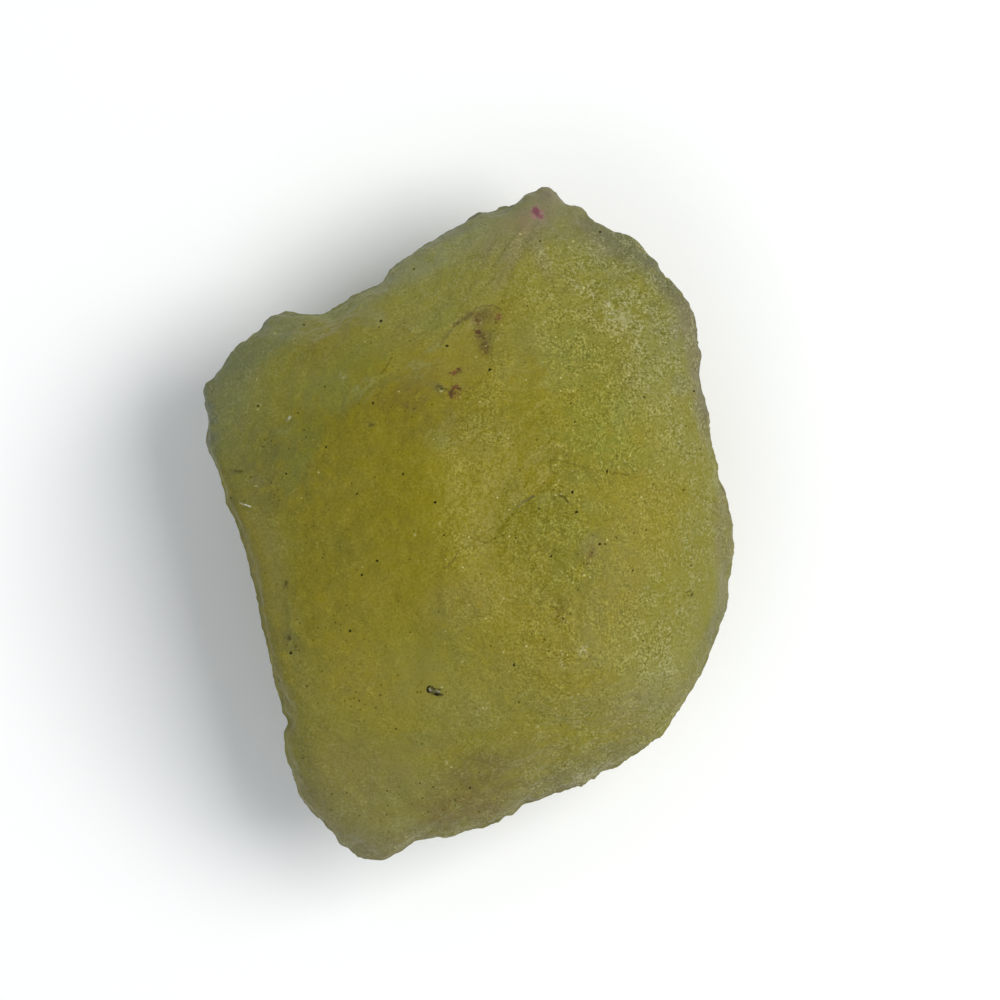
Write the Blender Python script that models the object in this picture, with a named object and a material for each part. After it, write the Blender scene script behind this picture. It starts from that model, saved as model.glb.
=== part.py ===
"""Rough topaz: one broken and slightly worn piece of yellow-green gem rough.

The stone is one solid. It lies on the flat cleavage face that topaz splits along, with its
long side along Y and the origin at the middle of its footprint.

A fine ball is pushed out from the stone's heart. Along each ray the skin is at the nearest
of the girdle wall, the break faces and the shell-shaped scoops. The stone is two blocks
grown together, a ridged one and a swollen one, and a ledge runs where one stands higher
than the other. Lumps are raised on the skin, its edges are worn round, triangles that a
flat face doesn't need are taken out, and the base is cut flat.
"""

import math
from collections import namedtuple

import bmesh
import bpy
from mathutils import Vector, noise

MM = 0.001

# Driving sizes, in millimetres
HEART_HEIGHT = 9.6
BALL_RADII = (15.0, 19.0, 10.0)
BLOCK_BLEND = 0.4
LUMP_SPACING = 5.5
LUMP_HEIGHT = 0.32
DENT_SPACING = 2.2
DENT_HEIGHT = 0.12
RIM_MERGE = 0.03
FAR = 1000.0

# Shares of a ray that count as straight up, and as running along a face and never meeting it
STRAIGHT_UP = 0.05
ALONG_FACE = 0.02

# Fineness of the ball, how much its edges are worn round, and the triangles that are kept
COARSE_SUBDIVISIONS = 3
EXTRA_CUTS = 8
WEAR_PASSES = 2
WEAR_PER_PASS = 0.5
KEPT_SHARE = 0.33

# The girdle seen from above, clockwise from the peak, in millimetres from the heart
GIRDLE = [
    (4.5, 20.2), (5.1, 19.9), (5.9, 19.0), (7.2, 18.5), (8.1, 17.7), (9.2, 17.5),
    (10.4, 16.5), (11.4, 15.3), (13.3, 13.2), (13.7, 11.2), (13.9, 8.6), (14.4, 5.6),
    (14.8, 3.4), (15.6, 1.0), (16.0, -1.4), (15.6, -4.0), (14.9, -6.5), (13.9, -9.2),
    (12.4, -11.8), (10.9, -13.2), (7.8, -15.2), (5.5, -16.0), (3.6, -16.7), (1.8, -17.9),
    (-0.4, -18.6), (-2.9, -18.9), (-3.9, -19.5), (-4.9, -20.3), (-6.8, -20.1),
    (-8.4, -18.5), (-10.2, -16.3), (-10.9, -14.0), (-10.9, -11.7), (-11.4, -10.8),
    (-12.2, -7.0), (-13.4, -1.5), (-14.3, 0.8), (-15.4, 4.0), (-15.8, 5.5), (-15.9, 7.9),
    (-15.0, 9.1), (-13.2, 11.1), (-11.6, 12.5), (-9.2, 12.4), (-7.1, 13.4), (-5.7, 14.1),
    (-4.4, 15.4), (-1.8, 17.2), (0.5, 18.5), (2.7, 19.4), (3.8, 19.8),
]
GIRDLE_WEAR_DEGREES = 0.6
GIRDLE_LEAN = 0.22

# Corners where break faces meet, in millimetres from the heart
CORNERS = {
    "peak": (4.5, 20.2, 0.9),
    "upper left rim": (-3.0, 16.3, 2.2),
    "left shoulder": (-10.5, 12.4, 3.2),
    "left corner": (-15.7, 6.5, 2.2),
    "left brink": (-13.0, -3.0, 5.4),
    "lower left brink": (-10.9, -12.0, 4.6),
    "tail": (-5.5, -19.8, 1.7),
    "foot rim": (1.8, -17.9, 1.2),
    "lower right rim": (9.2, -14.4, 1.0),
    "right rim": (16.0, -1.4, 1.2),
    "upper right rim": (13.3, 13.2, 1.8),
    "right notch": (14.6, 4.0, 1.6),
    "scar": (-4.4, 8.0, 8.2),
    "ridge head": (-1.7, 6.2, 9.6),
    "ridge foot": (-1.7, -4.6, 9.6),
    "ledge start": (-1.1, -2.5, 9.3),
    "ledge middle": (3.4, 1.1, 8.9),
    "ledge rise": (3.9, 0.8, 9.5),
    "ledge turn": (5.8, 4.6, 8.7),
    "ledge end": (15.3, 1.0, 1.6),
    "swelling crown": (5.5, -2.0, 9.1),
    "swelling right": (9.5, 0.0, 8.0),
    "swelling low right": (12.0, -9.0, 4.3),
    "swelling low": (5.0, -9.0, 8.6),
    "swelling foot": (3.0, -15.0, 5.2),
    "foot brink": (7.5, -12.0, 4.6),
    "under peak": (4.5, 20.2, -1.0),
    "under left shoulder": (-10.5, 12.5, -1.8),
    "under left corner": (-15.6, 6.5, -1.8),
    "under left foot": (-10.4, -16.0, -1.6),
    "under tail": (-5.8, -20.2, -1.0),
    "under foot": (9.0, -14.3, -1.4),
    "under right": (15.8, -4.0, -2.0),
    "under upper right": (13.3, 13.2, -1.2),
    "base left back": (-4.0, 8.5, -9.6),
    "base right back": (6.0, 8.0, -9.6),
    "base right": (8.6, -1.0, -9.6),
    "base right front": (6.0, -8.5, -9.6),
    "base front": (0.5, -12.5, -9.6),
    "base left front": (-3.0, -10.5, -9.6),
    "base left": (-6.6, -4.0, -9.6),
    "step left": (-6.0, 7.0, -8.5),
    "step right": (7.0, 7.6, -8.3),
    "step back": (2.0, 12.0, -8.0),
    "step foot": (0.0, 5.9, -9.6),
}

# A break face: the block that it bounds, three of its corners and the wear of its edges
Face = namedtuple("Face", "name block corners wear")
BREAK_FACES = [
    Face("left shoulder", "both", ("left corner", "left shoulder", "scar"), 0.8),
    Face("upper left slope", "both", ("peak", "upper left rim", "scar"), 1.0),
    Face("scarred slope", "both", ("peak", "ridge head", "scar"), 0.8),
    Face("left slope", "both", ("ridge head", "ridge foot", "left brink"), 0.7),
    Face("tail slope", "both", ("ridge foot", "lower left brink", "tail"), 3.2),
    Face("foot slope", "both", ("foot rim", "lower right rim", "foot brink"), 1.2),
    Face("upper right slope", "ridged", ("ridge head", "peak", "upper right rim"), 1.2),
    Face("upper right side", "ridged", ("upper right rim", "right notch", "ledge turn"), 1.4),
    Face("centre slope", "ridged", ("ridge head", "ridge foot", "ledge middle"), 0.8),
    Face("ridged base", "ridged", ("step left", "step right", "step back"), 0.8),
    Face("swelling back", "swollen", ("ledge turn", "ledge start", "ledge rise"), 0.6),
    Face("swelling brow", "swollen", ("ledge turn", "ledge end", "swelling right"), 1.2),
    Face("swelling top", "swollen", ("ridge foot", "swelling crown", "swelling low"), 3.0),
    Face("swelling side", "swollen", ("swelling right", "right rim", "swelling low right"), 3.4),
    Face("swelling foot", "swollen", ("swelling low", "swelling low right", "swelling foot"), 3.4),
    Face("swelling heel", "swollen", ("step left", "step right", "step foot"), 0.6),
    Face("under back left", "both", ("under peak", "under left shoulder", "base left back"), 1.4),
    Face("under back right", "both", ("under peak", "under upper right", "base right back"), 1.2),
    Face("under right", "both", ("under upper right", "under right", "base right"), 1.6),
    Face("under foot", "both", ("under right", "under foot", "base right front"), 1.4),
    Face("under tail", "both", ("under foot", "under tail", "base front"), 1.2),
    Face("under left foot", "both", ("under tail", "under left foot", "base left front"), 1.2),
    Face("under left", "both", ("under left foot", "under left corner", "base left"), 1.2),
    Face("under shoulder", "both", ("under left corner", "under left shoulder", "base left back"), 1.4),
]

# A scoop: a shell-shaped chip, with its middle on the skin in millimetres from the heart,
# the way that it faces in degrees round from +X and up from level, the radius of the ball
# that cut it, and its depth
Scoop = namedtuple("Scoop", "name middle around up radius depth")
SCOOPS = [
    Scoop("scoop below the peak", (8.5, 10.5, 5.0), 37, 60, 24.0, 0.9),
    Scoop("chip on the upper left rim", (-7.0, 13.6, 3.4), 128, 28, 11.0, 0.8),
    Scoop("hooked chip", (0.5, 11.3, 6.4), 85, 58, 3.5, 0.4),
    Scoop("chip under the left edge", (-11.0, -3.0, -4.6), 196, -42, 11.0, 1.2),
    Scoop("chip under the right edge", (12.6, 4.0, -4.4), 10, -46, 12.0, 1.1),
    Scoop("chip under the foot", (4.5, -13.4, -5.2), 298, -38, 13.0, 1.0),
]
SCOOP_WEAR = 0.7

STONE_COLOUR = (0.23, 0.21, 0.035, 1.0)
STONE_ROUGHNESS = 0.42
STONE_IOR = 1.62
SHARP_DEGREES = 35


def facing(around, up):
    """Unit vector from degrees round from +X and degrees up from level."""
    around, up = math.radians(around), math.radians(up)
    level = math.cos(up)
    return Vector((math.cos(around) * level, math.sin(around) * level, math.sin(up)))


def worn_minimum(a, b, wear):
    """The smaller of two distances, with the corner where they cross worn round."""
    overlap = max(wear - abs(a - b), 0.0)
    return min(a, b) - overlap * overlap / (4 * wear)


def girdle_radius(around):
    """How far the girdle is from the heart in one direction, seen from above."""
    ray = Vector((math.cos(around), math.sin(around)))
    nearest = FAR
    for start, end in zip(GIRDLE, GIRDLE[1:] + GIRDLE[:1]):
        start = Vector(start)
        side = Vector(end) - start
        turn = ray.cross(side)
        if abs(turn) < 1e-9:
            continue
        distance = start.cross(side) / turn
        share = start.cross(ray) / turn
        if distance > 0 and -1e-6 <= share <= 1 + 1e-6:
            nearest = min(nearest, distance)
    return nearest


def worn_girdle_radius(around):
    """The girdle's distance with its corners worn round, as the mean of three readings."""
    wear = math.radians(GIRDLE_WEAR_DEGREES)
    return sum(girdle_radius(around + step * wear) for step in (-1, 0, 1)) / 3


def wall_distance(ray):
    """Where the ray meets the girdle wall, which leans in above and below."""
    level = math.hypot(ray.x, ray.y)
    if level < STRAIGHT_UP:
        return FAR
    radius = worn_girdle_radius(math.atan2(ray.y, ray.x))
    return radius / level * (1 - GIRDLE_LEAN * ray.z * ray.z)


def face_distance(face, ray):
    """Where the ray meets a break face."""
    first, second, third = (Vector(CORNERS[corner]) for corner in face.corners)
    normal = (second - first).cross(third - first).normalized()
    height = normal.dot(first)
    towards = normal.dot(ray) * math.copysign(1.0, height)
    if towards < ALONG_FACE:
        return FAR
    return abs(height) / towards


def scoop_distance(scoop, ray):
    """Where the ray enters the ball that cut a scoop."""
    centre = Vector(scoop.middle) + facing(scoop.around, scoop.up) * (scoop.radius - scoop.depth)
    middle = centre.dot(ray)
    inside = middle * middle - centre.length_squared + scoop.radius ** 2
    if middle < 0 or inside < 0:
        return FAR
    return middle - math.sqrt(inside)


def block_distance(block, ray, wall):
    """Where the ray leaves one of the two blocks."""
    distance = wall
    for face in BREAK_FACES:
        if face.block in (block, "both"):
            distance = worn_minimum(distance, face_distance(face, ray), face.wear)
    return distance


def skin_distance(ray):
    """Distance from the heart to the skin along a ray, in millimetres."""
    wall = wall_distance(ray)
    ridged = block_distance("ridged", ray, wall)
    swollen = block_distance("swollen", ray, wall)
    distance = -worn_minimum(-ridged, -swollen, BLOCK_BLEND)
    for scoop in SCOOPS:
        distance = worn_minimum(distance, scoop_distance(scoop, ray), SCOOP_WEAR)
    return distance


def lumps(point):
    """Height of the worn lumps and dents at a point on the skin, in millimetres."""
    lump = noise.noise(point / LUMP_SPACING) * LUMP_HEIGHT
    dent = noise.noise(point / DENT_SPACING) * DENT_HEIGHT
    return lump + dent


def push_out(vertex):
    """Moves one vertex of the ball along its ray to the stone's skin."""
    ball = vertex.co.normalized()
    ray = Vector(a * b for a, b in zip(ball, BALL_RADII)).normalized()
    skin = ray * skin_distance(ray)
    vertex.co = skin + ray * lumps(skin)


def make_fine_skin():
    """The whole skin as a fine mesh, with its edges worn round."""
    mesh = bmesh.new()
    bmesh.ops.create_icosphere(mesh, subdivisions=COARSE_SUBDIVISIONS, radius=1.0)
    bmesh.ops.subdivide_edges(mesh, edges=mesh.edges, cuts=EXTRA_CUTS, use_grid_fill=True)
    for vertex in mesh.verts:
        push_out(vertex)
    for _ in range(WEAR_PASSES):
        bmesh.ops.smooth_vert(
            mesh, verts=mesh.verts, factor=WEAR_PER_PASS, use_axis_x=True, use_axis_y=True, use_axis_z=True
        )
    return mesh


def thin_out(mesh):
    """Takes out the triangles that a flat face doesn't need, and keeps them at the edges."""
    data = bpy.data.meshes.new("fine skin")
    mesh.to_mesh(data)
    fine = bpy.data.objects.new("fine skin", data)
    bpy.context.scene.collection.objects.link(fine)
    thinner = fine.modifiers.new("thin out", "DECIMATE")
    thinner.ratio = KEPT_SHARE
    mesh.clear()
    mesh.from_object(fine, bpy.context.evaluated_depsgraph_get())
    bpy.data.objects.remove(fine)


def cut_base_flat(mesh):
    """Cuts the stone off level, along the cleavage face that it rests on."""
    everything = mesh.verts[:] + mesh.edges[:] + mesh.faces[:]
    base = (0.0, 0.0, -HEART_HEIGHT)
    bmesh.ops.bisect_plane(mesh, geom=everything, plane_co=base, plane_no=(0, 0, -1), clear_outer=True)
    rim = [edge for edge in mesh.edges if edge.is_boundary]
    bmesh.ops.dissolve_degenerate(mesh, dist=RIM_MERGE, edges=rim)
    rim = [edge for edge in mesh.edges if edge.is_boundary]
    bmesh.ops.holes_fill(mesh, edges=rim, sides=0)
    bmesh.ops.triangulate(mesh, faces=mesh.faces)


def stand_on_origin(mesh):
    """Puts the middle of the footprint's box at the origin and the base at height zero."""
    low = [min(vertex.co[axis] for vertex in mesh.verts) for axis in range(3)]
    high = [max(vertex.co[axis] for vertex in mesh.verts) for axis in range(3)]
    shift = (-(low[0] + high[0]) / 2, -(low[1] + high[1]) / 2, HEART_HEIGHT)
    bmesh.ops.translate(mesh, vec=shift, verts=mesh.verts)


def make_stone_mesh():
    """The stone as one closed mesh, in metres."""
    mesh = make_fine_skin()
    thin_out(mesh)
    cut_base_flat(mesh)
    stand_on_origin(mesh)
    bmesh.ops.scale(mesh, vec=(MM, MM, MM), verts=mesh.verts)
    bmesh.ops.recalc_face_normals(mesh, faces=mesh.faces)
    return mesh


def stone_material():
    """The cloudy yellow-green of the rough."""
    material = bpy.data.materials.new("yellow green rough")
    material.use_nodes = True
    surface = material.node_tree.nodes["Principled BSDF"]
    surface.inputs["Base Color"].default_value = STONE_COLOUR
    surface.inputs["Roughness"].default_value = STONE_ROUGHNESS
    surface.inputs["Metallic"].default_value = 0.0
    surface.inputs["IOR"].default_value = STONE_IOR
    return material


def make_topaz():
    """The stone as a named object in the scene."""
    data = bpy.data.meshes.new("topaz")
    mesh = make_stone_mesh()
    mesh.to_mesh(data)
    mesh.free()
    data.shade_smooth()
    data.set_sharp_from_angle(angle=math.radians(SHARP_DEGREES))
    data.materials.append(stone_material())
    stone = bpy.data.objects.new("topaz", data)
    bpy.context.scene.collection.objects.link(stone)
    return stone


def main():
    """Clears the scene and makes the stone."""
    for old in list(bpy.data.objects):
        bpy.data.objects.remove(old)
    make_topaz()


main()
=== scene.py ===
import math
import random
from collections import namedtuple

import bmesh
import bpy
import numpy as np
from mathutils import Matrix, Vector, kdtree, noise
from mathutils.bvhtree import BVHTree


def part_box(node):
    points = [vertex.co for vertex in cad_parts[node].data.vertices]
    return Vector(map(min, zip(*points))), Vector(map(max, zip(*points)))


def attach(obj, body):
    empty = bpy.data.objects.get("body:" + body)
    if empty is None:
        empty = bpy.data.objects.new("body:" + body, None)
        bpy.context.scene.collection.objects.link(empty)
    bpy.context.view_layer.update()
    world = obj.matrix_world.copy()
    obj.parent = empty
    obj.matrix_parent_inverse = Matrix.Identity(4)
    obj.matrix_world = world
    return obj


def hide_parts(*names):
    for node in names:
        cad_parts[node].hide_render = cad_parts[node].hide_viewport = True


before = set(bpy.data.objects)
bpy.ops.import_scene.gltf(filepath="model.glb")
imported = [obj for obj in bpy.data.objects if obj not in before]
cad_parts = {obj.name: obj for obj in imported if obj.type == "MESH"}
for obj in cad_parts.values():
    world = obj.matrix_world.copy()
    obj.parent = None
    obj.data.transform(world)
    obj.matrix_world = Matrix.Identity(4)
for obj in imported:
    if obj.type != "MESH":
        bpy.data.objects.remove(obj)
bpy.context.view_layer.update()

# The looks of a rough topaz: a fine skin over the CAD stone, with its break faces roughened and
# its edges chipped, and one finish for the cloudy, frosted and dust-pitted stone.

MM = 0.001
STONE_LOW, STONE_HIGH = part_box("topaz")
HEART = (STONE_LOW + STONE_HIGH) / 2

# The photograph's frame: the real size of a pixel at the stone's widest level, the point that
# the camera aims at, and how far above that level it is
PICTURE_SIDE = 1000
PIXEL = 0.06 * MM
AIM_PIXEL = (500.0, 500.0)
AIM = Vector((1.86, 1.38, 9.6)) * MM
CAMERA_DISTANCE = 400 * MM
SENSOR_WIDTH = 36.0

# Fineness of the skin. A ball of triangles, cut again above a share of its height, is laid on the
# solid along rays that spread as they do in an egg of these radii, and is then smoothed. The flat
# base is below the first height, and the relief has its full height above the second
BALL_RADII = (13.0, 16.5, 10.5)
COARSE_SUBDIVISIONS = 3
EXTRA_CUTS = 13
UPPER_PART = -0.25
MERGE = 0.001 * MM
SMOOTH_PASSES = 5
SMOOTH_FACTOR = 0.5
FLAT_BASE = 0.02 * MM
RELIEF_FULL = 0.5 * MM

# What counts as the top of the stone, as the reach of the tints, as its upright rim and as the
# upright faces that move with the girdle: how far a normal points up, from none of it to all
TOP_SLOPES = (-0.30, 0.0)
TINT_SLOPES = (-0.95, -0.10)
RIM_SLOPES = (0.05, 0.40)
CORNER_SLOPES = (0.35, 0.85)

# How deep the stone is behind its skin: rays fan out inwards, and a longer one than this counts
# as this long. The way straight up or down has a share of its own in their mean. Soft clouds
# vary it, more so on the underside, which is also paler
DEPTH_RAYS = 9
GOLDEN_ANGLE = math.pi * (3.0 - math.sqrt(5.0))
DEPTH_SPREAD = 0.75
DEPTH_FULL = 15.0 * MM
DOWN_SHARE = 0.5
DEPTH_PASSES = 6
CLOUD_SPACING = 3.5 * MM
CLOUD_CHANGE = 0.12
UNDER_CLOUD_SPACING = 4.5 * MM
UNDER_CLOUD_CHANGE = 0.35
UNDER_PALE = 0.20

# Edges and hollows are what stands out from the skin by comparison with the skin after this many
# smoothing passes. Off the girdle they count for less. Edges are coloured paler, as rubbed stone,
# and hollows darker, as painted shade
EDGE_AND_HOLLOW_PASSES = 90
EDGE_AND_HOLLOW_FULL = 0.12 * MM
EDGE_AND_HOLLOW_SHARES = (0.35, 1.0)

# Relief of the skin: the size of its lumps and how high they stand. Grain and folds are lower
# where the stone isn't frosted, ragged lumps and crumbs are on the girdle alone, and a fold has
# this many finer ones on it
UNEVEN_SPACING = 3.1 * MM
UNEVEN_HEIGHT = 0.09 * MM
DIMPLE_SPACING = 1.2 * MM
DIMPLE_HEIGHT = 0.085 * MM
GRAIN_SPACING = 0.48 * MM
GRAIN_HEIGHT = 0.055 * MM
GRAIN_SHARES = (0.3, 1.3)
RAGGED_SPACING = 0.8 * MM
RAGGED_HEIGHT = 0.06 * MM
RAGGED_REACH = 2.2 * MM
CRUMB_SPACING = 0.33 * MM
CRUMB_HEIGHT = 0.055 * MM
FOLD_SPACING = 1.5 * MM
FOLD_HEIGHT = 0.13 * MM
FOLD_SHARES = (0.15, 1.0)
FOLD_OCTAVES = 3
FOLD_FADE = 1.0
FOLD_FINENESS = 2.0
FOLD_LEVEL = 1.0
FOLD_GAIN = 2.0

# Faint growth lines on the upper left slope: how long and how wide they are, the way that they
# run in degrees round from +X, and their height
LINE_LENGTH = 3.5 * MM
LINE_WIDTH = 0.30 * MM
LINE_TURN = 58
LINE_HEIGHT = 0.035 * MM

# Small chips along the girdle: how deep each is in shares of its radius, how far its floor is
# level, how uneven its rim is, and how sharp and near the girdle an edge must be to be chipped
CHIP_COUNT = 260
CHIP_RADII = (0.25 * MM, 0.75 * MM)
CHIP_DEPTH = 0.20
CHIP_DEPTH_CHANGE = (0.5, 1.2)
CHIP_WEAR = 0.6
CHIP_BEND = 0.35
CHIPPED_EDGES = 0.4
CHIPPED_GIRDLE = 0.5
CHIP_SEED = 8

# How uneven the width of creases and cracks is, and where their course is broken
GROOVE_BEND = 0.6
GROOVE_BEND_SPACING = 0.5 * MM
GROOVE_BREAK_SPACING = 0.9 * MM
GROOVE_KEPT = 0.7

# Corners that stand out from the girdle and notches that cut into it: the pixel that each is at,
# how far along the girdle it reaches, and how far it stands out, in pixels
Corner = namedtuple("Corner", "name middle reach out")
GIRDLE_CORNERS = (
    Corner("peak", (546, 190), 15, 5.5),
    Corner("dip left of the peak", (514, 201), 18, -5.0),
    Corner("step left of the peak", (478, 214), 20, 4.4),
    Corner("edge right of the peak", (582, 211), 20, 5.2),
    Corner("step right of the peak", (603, 225), 20, 4.0),
    Corner("upper right bulge", (638, 243), 34, 5.2),
    Corner("upper right swell", (658, 264), 16, 2.6),
    Corner("upper right corner", (692, 315), 24, 3.5),
    Corner("right flat", (699, 350), 28, 5.0),
    Corner("right side", (708, 416), 16, 2.0),
    Corner("flat above the right shoulder", (720, 482), 16, 1.0),
    Corner("right shoulder", (729, 520), 34, 3.0),
    Corner("hollow below the right shoulder", (731, 580), 26, -3.0),
    Corner("hollow in the lower right", (716, 633), 18, -1.8),
    Corner("lower right flat", (655, 735), 36, 2.0),
    Corner("lower rim swell", (577, 784), 28, 3.5),
    Corner("hollow in the lower rim", (525, 805), 18, -3.5),
    Corner("lower rim step", (492, 823), 24, 1.6),
    Corner("swell beside the notch", (448, 836), 16, 2.5),
    Corner("notch beside the tail", (415, 836), 14, -4.0),
    Corner("tail", (382, 858), 26, 3.5),
    Corner("tail's flat end", (358, 856), 15, 5.0),
    Corner("tail's left side", (343, 846), 20, 3.5),
    Corner("flat above the tail", (312, 811), 22, 1.0),
    Corner("hollow above the tail", (292, 772), 34, -4.0),
    Corner("left notch", (287, 722), 12, -7.0),
    Corner("side above the left notch", (281, 702), 22, -3.6),
    Corner("left side", (256, 596), 20, -1.5),
    Corner("left side's waist", (236, 520), 24, -3.5),
    Corner("hollow in the left side", (219, 474), 42, -5.5),
    Corner("hollow under the left corner", (206, 422), 24, -6.5),
    Corner("left corner", (204, 388), 14, 7.5),
    Corner("left shoulder edge", (234, 353), 32, 4.5),
    Corner("left shoulder corner", (270, 316), 20, 8.0),
    Corner("left shoulder's chamfer", (252, 332), 14, 3.0),
    Corner("left shoulder's top", (290, 312), 18, 4.5),
    Corner("notch right of the shoulder", (328, 311), 22, -4.5),
    Corner("dip in the upper left side", (343, 302), 13, -2.5),
    Corner("hollow in the upper left side", (381, 282), 18, -4.0),
)

# Creases and cracks seen from above: their course and half their width in pixels, and how deep
# they are
Groove = namedtuple("Groove", "name course half_width depth")
GROOVES = (
    Groove("hooked crack", (
        (452, 328), (458, 321), (466, 317), (476, 309), (486, 306), (497, 307), (503, 313)
    ), 3.0, 0.04 * MM),
    Groove("ledge", (
        (552, 458), (550, 474), (543, 484), (534, 496), (519, 506), (506, 519), (498, 529), (478, 543),
        (460, 555), (450, 567)
    ), 6.0, 0.07 * MM),
    Groove("lip below the ledge", (
        (557, 478), (549, 491), (538, 502), (524, 511), (511, 525), (502, 536), (482, 550), (464, 563)
    ), 5.0, -0.045 * MM),
    Groove("swelling's crease", (
        (550, 459), (577, 465), (592, 469), (622, 474), (637, 478), (670, 488), (705, 500), (726, 511)
    ), 5.0, 0.09 * MM),
    Groove("scar's lower edge", (
        (452, 328), (420, 352), (388, 376), (350, 400), (305, 434), (262, 462)
    ), 7.0, 0.06 * MM),
    Groove("first crease on the ridge head", (
        (536, 222), (520, 246), (508, 276), (498, 306)
    ), 6.0, 0.07 * MM),
    Groove("second crease on the ridge head", ((516, 226), (500, 250), (488, 280)), 5.0, 0.06 * MM),
    Groove("crease right of the ridge", ((530, 236), (540, 262), (551, 290)), 5.0, 0.05 * MM),
    Groove("crack below the centre", ((460, 547), (456, 556), (451, 563), (445, 568)), 3.0, 0.05 * MM),
    Groove("small ledge on the swelling", ((583, 566), (592, 551), (606, 541), (626, 533)), 4.5, 0.05 * MM),
    Groove("step's edge", ((590, 521), (603, 520), (615, 517), (628, 519)), 3.0, 0.04 * MM),
    Groove("fold on the swelling", ((508, 648), (522, 640), (545, 638), (570, 628)), 5.0, 0.04 * MM),
    Groove("fold beside the tail", ((384, 838), (392, 822), (408, 812), (440, 812)), 5.0, 0.06 * MM),
)

# A soft oval on the top of the stone, in the photograph's pixels: its middle, its half-sizes
# across and down before it is turned, its turn in degrees clockwise, and its strength
Patch = namedtuple("Patch", "name middle reach turn strength")

# Where a patch begins to fade and where it ends, in shares of its half-sizes
PATCH_EDGE = (0.35, 1.25)

# The main ridge seen from above. The stone is frosted on its right and waxy on its left. The line
# between them sways, and is blurred over the pixels of the first two numbers. Then come how
# frosted the left and the right are, how frosted the underside is, and the patches on the top
RIDGE = ((545, 188), (505, 250), (490, 330), (445, 420), (434, 520), (444, 600), (425, 700), (400, 850))
RIDGE_BLUR = (-10.0, 30.0)
RIDGE_SWAY = 14.0
RIDGE_SWAY_SPACING = 2.0 * MM
FROST_BESIDE_RIDGE = (0.20, 0.62)
FROST_UNDER = 0.35
FROST_UNDER_CHANGE = 0.45
FROST_UNDER_SPACING = 6.0 * MM
FROST_PATCHES = (
    Patch("upper right break", (606, 330), (75, 70), 20, 0.35),
    Patch("right break", (640, 420), (60, 50), 0, 0.25),
    Patch("calm band beside the hook", (528, 365), (26, 95), -4, -0.35),
    Patch("centre crystal patch", (462, 470), (30, 62), 8, 0.05),
    Patch("calm centre", (512, 500), (54, 74), 0, -0.28),
    Patch("crumbs round the ledge", (540, 525), (44, 36), -30, 0.25),
    Patch("calm stone below the centre", (500, 590), (60, 44), 0, -0.15),
    Patch("pale band on the swelling", (652, 645), (52, 50), 35, 0.25),
    Patch("lower edge of the swelling", (570, 735), (70, 26), 25, 0.05),
    Patch("smooth hollow", (470, 670), (70, 55), 0, -0.30),
    Patch("calm foot of the swelling", (480, 750), (90, 45), -10, -0.30),
    Patch("smooth peak", (556, 212), (74, 34), 8, -0.50),
    Patch("calm brown by the tail", (470, 802), (74, 30), -16, -0.30),
    Patch("smooth right rim", (708, 620), (22, 110), 22, -0.40),
    Patch("frost on the upper slope", (450, 300), (90, 34), -35, 0.12),
)

# How thick dust lies in the pits of the skin, how unevenly, and where it is thicker or thinner
DUST_EVERYWHERE = 0.30
DUST_CHANGE = 0.35
DUST_SPACING = 2.6 * MM
DUST_PATCHES = (
    Patch("dust on the left rim", (268, 442), (22, 16), 20, 0.60),
    Patch("dust below it", (276, 496), (14, 14), 0, 0.70),
    Patch("dust on the left slope", (330, 520), (60, 90), 0, 0.20),
    Patch("dust under the brow", (432, 408), (40, 30), 0, 0.45),
    Patch("dust on the brow", (385, 400), (50, 18), 0, 0.30),
    Patch("dust above the tail", (365, 695), (60, 30), 0, 0.45),
    Patch("dust on the lower slope", (330, 650), (50, 50), 0, 0.25),
    Patch("dust on the left rim's smoke", (290, 642), (14, 26), 0, 0.60),
    Patch("dust on the tail", (430, 800), (110, 34), -15, 0.35),
    Patch("dust right of the ledge", (560, 530), (70, 60), 0, 0.30),
    Patch("dust by the crease", (600, 466), (50, 16), 12, 0.35),
    Patch("dust on the swelling", (545, 620), (60, 30), -10, 0.25),
    Patch("clean upper slope", (460, 270), (90, 40), -30, -0.25),
    Patch("clean left corner", (240, 380), (40, 50), 0, -0.15),
    Patch("clean frosted break", (600, 300), (80, 90), 0, -0.15),
    Patch("clean swelling", (640, 690), (80, 60), 30, -0.15),
)

# Where the growth lines are
LINE_PATCH = Patch("growth lines", (475, 285), (75, 42), -55, 1.0)

# Where the stone looks deeper or paler from above than its thickness alone makes it
DEPTH_PATCHES = (
    Patch("window in the left slope", (388, 470), (62, 105), 0, 0.30),
    Patch("window above the tail", (380, 620), (80, 90), 0, 0.16),
    Patch("hollow below the ledge", (560, 560), (75, 95), 0, 0.30),
    Patch("deep centre", (500, 480), (90, 80), 0, 0.20),
    Patch("pale band below the peak", (480, 315), (110, 48), 0, -0.16),
    Patch("pale band above the tail", (460, 705), (170, 36), 0, -0.16),
    Patch("thick left side", (256, 590), (20, 150), -14, 0.25),
    Patch("pale upper left slope", (400, 300), (170, 50), -30, -0.10),
    Patch("pale shoulder", (235, 380), (45, 60), 0, -0.12),
    Patch("pale peak", (560, 225), (80, 45), 0, -0.12),
    Patch("pale right break", (680, 370), (50, 90), 0, -0.10),
    Patch("pale swelling", (665, 610), (55, 100), 20, -0.22),
    Patch("pale foot of the swelling", (470, 745), (130, 45), -12, -0.14),
    Patch("pale tail", (380, 820), (90, 50), 0, -0.14),
)
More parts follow.
